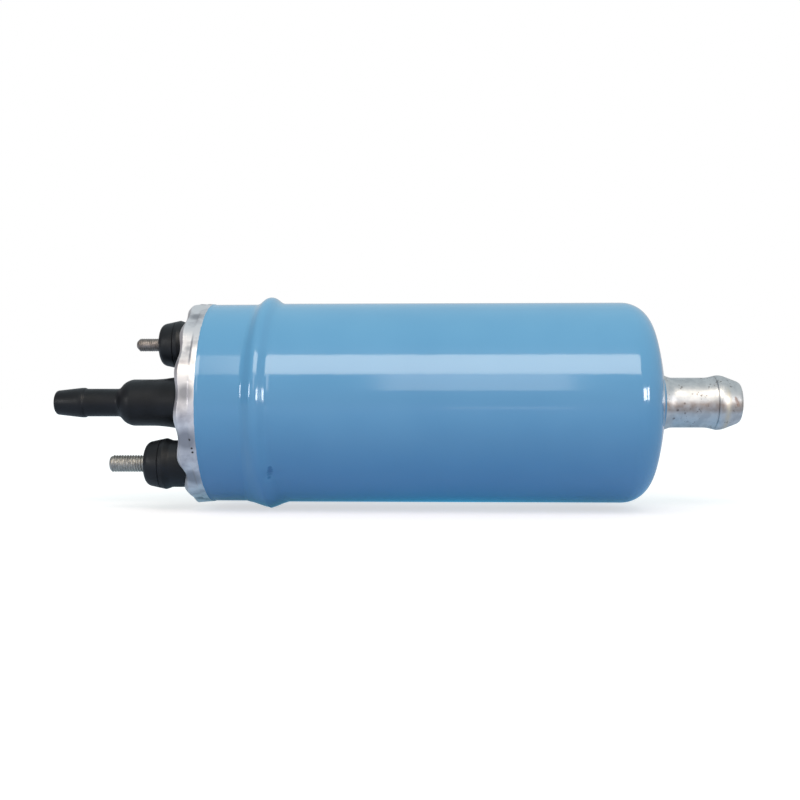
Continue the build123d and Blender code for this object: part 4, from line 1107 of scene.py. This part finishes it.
lamps = {
    # name: place, station on the axis that it faces, size across and up, radiance, colour, and
    # whether it lights the surface or gleams on it
    "keySoftbox": ((55, -352, 322), 55, (390, 190), 3.9, (1.0, 0.90, 0.76), "gleam"),
    "keyLight": ((0, -322, 368), 0, (390, 238), 3.95, (0.95, 0.85, 0.82), "light"),
    "keyEdge": ((-160, -352, 322), -160, (36, 190), 1.4, (1.0, 0.90, 0.76), "gleam"),
    "lowPanel": ((25, -445, 180), 25, (140, 150), 1.6, (1.0, 0.90, 0.80), "gleam"),
    "lowStrip": ((34, -280, -26), 34, (67, 6), 1.0, (1.0, 0.95, 0.90), "gleam"),
    "leftWindow": ((-420, -330, 95), -55, (60, 100), 16.0, (1.0, 1.0, 1.0), "gleam"),
    "rightPaneNear": ((346, -412, 72), 55, (110, 100), 14.0, (1.0, 1.0, 1.0), "gleam"),
    "rightPaneFar": ((428, -332, 72), 55, (60, 100), 14.0, (1.0, 1.0, 1.0), "gleam"),
}
white = (1, 1, 1, 1)


def seenBy(add):
    # 1 for camera rays, and 1 for glossy and transmission rays
    path = add("LightPath")
    glossy, through = path.outputs["Is Glossy Ray"], path.outputs["Is Transmission Ray"]
    mirrored = add("Math", links={0: glossy, 1: through}, operation="MAXIMUM")
    return path.outputs["Is Camera Ray"], mirrored


def makeRoom():
    world = bpy.data.worlds.new("white_room")
    bpy.context.scene.world = world
    add = startTree(world)
    camera, mirrored = seenBy(add)
    towards = add("TexCoord").outputs["Generated"]
    bearing = add("SeparateXYZ", links={0: towards})
    rise = add("MapRange", {"From Max": stage["horizonTop"]}, {"Value": bearing.outputs["Z"]})
    lightRoom = add("Mix", {"A": (*stage["horizonInGloss"], 1), "B": (*stage["skyInGloss"], 1)},
                    {"Factor": rise}, data_type="RGBA")
    dimStart, dimEnd = stage["dimFrom"]
    aside = add("MapRange", {"From Min": dimStart, "From Max": dimEnd},
                {"Value": bearing.outputs["X"]})
    gleam = add("Mix", {"B": (*stage["dimSide"], 1)}, {"Factor": aside, "A": lightRoom},
                data_type="RGBA")
    room = add("Mix", {"A": (*stage["skyLight"], 1)}, {"Factor": mirrored, "B": gleam},
               data_type="RGBA")
    seen = add("Mix", {"B": white}, {"Factor": camera, "A": room}, data_type="RGBA")
    sky = add("Background", links={"Color": seen})
    add("OutputWorld", links={"Surface": sky})


def makeFloor():
    floorZ = cadBox[0][2] - stage["floorGap"] * mm
    bpy.ops.mesh.primitive_plane_add(size=stage["floorSize"] * mm, location=(0, 0, floorZ))
    ground = bpy.context.object
    ground.name = "floor"
    paper = bpy.data.materials.new("white_paper")
    add = startTree(paper)
    camera, mirrored = seenBy(add)
    sheet = add("Mix", {"A": (*stage["paper"], 1), "B": (*stage["paperSeen"], 1)},
                {"Factor": camera}, data_type="RGBA")
    matt = add("BsdfDiffuse", links={"Color": sheet})
    place = add("TexCoord").outputs["Object"]
    flat = add("Mapping", {"Scale": stage["glowStretch"]}, {0: place})
    away = add("VectorMath", links={0: flat}, operation="LENGTH")
    (near, nearGlow), (far, farGlow) = stage["glowNear"], stage["glowFar"]
    seen = add("MapRange", {"From Min": near * mm, "From Max": far * mm,
                            "To Min": nearGlow, "To Max": farGlow}, {"Value": away})
    reach = stage["glowInGloss"][-1][0]
    share = add("MapRange", {"From Max": reach * mm}, {"Value": away})
    places = [(distance / reach, (*glow, 1)) for distance, glow in stage["glowInGloss"]]
    gleam = add("ValToRGB", links={0: share}, stops=places)
    shine = add("Mix", {"B": white}, {"Factor": camera, "A": gleam}, data_type="RGBA")
    glow = add("Math", links={0: camera, 1: seen, 2: mirrored}, operation="MULTIPLY_ADD")
    light = add("Emission", links={"Color": shine, "Strength": glow})
    both = add("AddShader", links={0: matt, 1: light})
    add("OutputMaterial", links={"Surface": both})
    ground.data.materials.append(paper)


def makeLamps():
    for name, (place, faces, size, radiance, colour, use) in lamps.items():
        bpy.ops.object.light_add(type="AREA", location=Vector(place) * mm)
        lamp = bpy.context.object
        lamp.name = name
        towards = Vector((faces, 0, 0)) - Vector(place)
        lamp.rotation_euler = towards.to_track_quat("-Z", "Y").to_euler()
        lamp.data.shape = "RECTANGLE"
        lamp.data.size, lamp.data.size_y = size[0] * mm, size[1] * mm
        lamp.data.energy = radiance * pi * lamp.data.size * lamp.data.size_y
        lamp.data.color = colour
        lamp.visible_diffuse = use == "light"
        lamp.visible_glossy = use == "gleam"
        lamp.visible_camera = False


# Camera, fitted to the photograph's outline of the can

view = {
    "distance": 310.0,
    "yaw": 2.0,  # degrees
    "aim": (-15.0, 0.0, 0.8),
    "lens": 45.95,
    "sensor": 36.0,  # its width
    "clip": 10.0,
}


def makeCamera():
    yaw = radians(view["yaw"])
    aim = Vector(view["aim"])
    place = aim + Vector((sin(yaw), -cos(yaw), 0)) * view["distance"]
    bpy.ops.object.camera_add(location=place * mm, rotation=(pi / 2, 0, yaw))
    camera = bpy.context.object
    camera.data.lens = view["lens"]
    camera.data.sensor_width = view["sensor"]
    camera.data.clip_start = view["clip"] * mm
    bpy.context.scene.camera = camera


makeRoom()
makeFloor()
makeLamps()
makeCamera()
bpy.context.scene.view_settings.view_transform = "Standard"
print("stage, lamps and camera made")
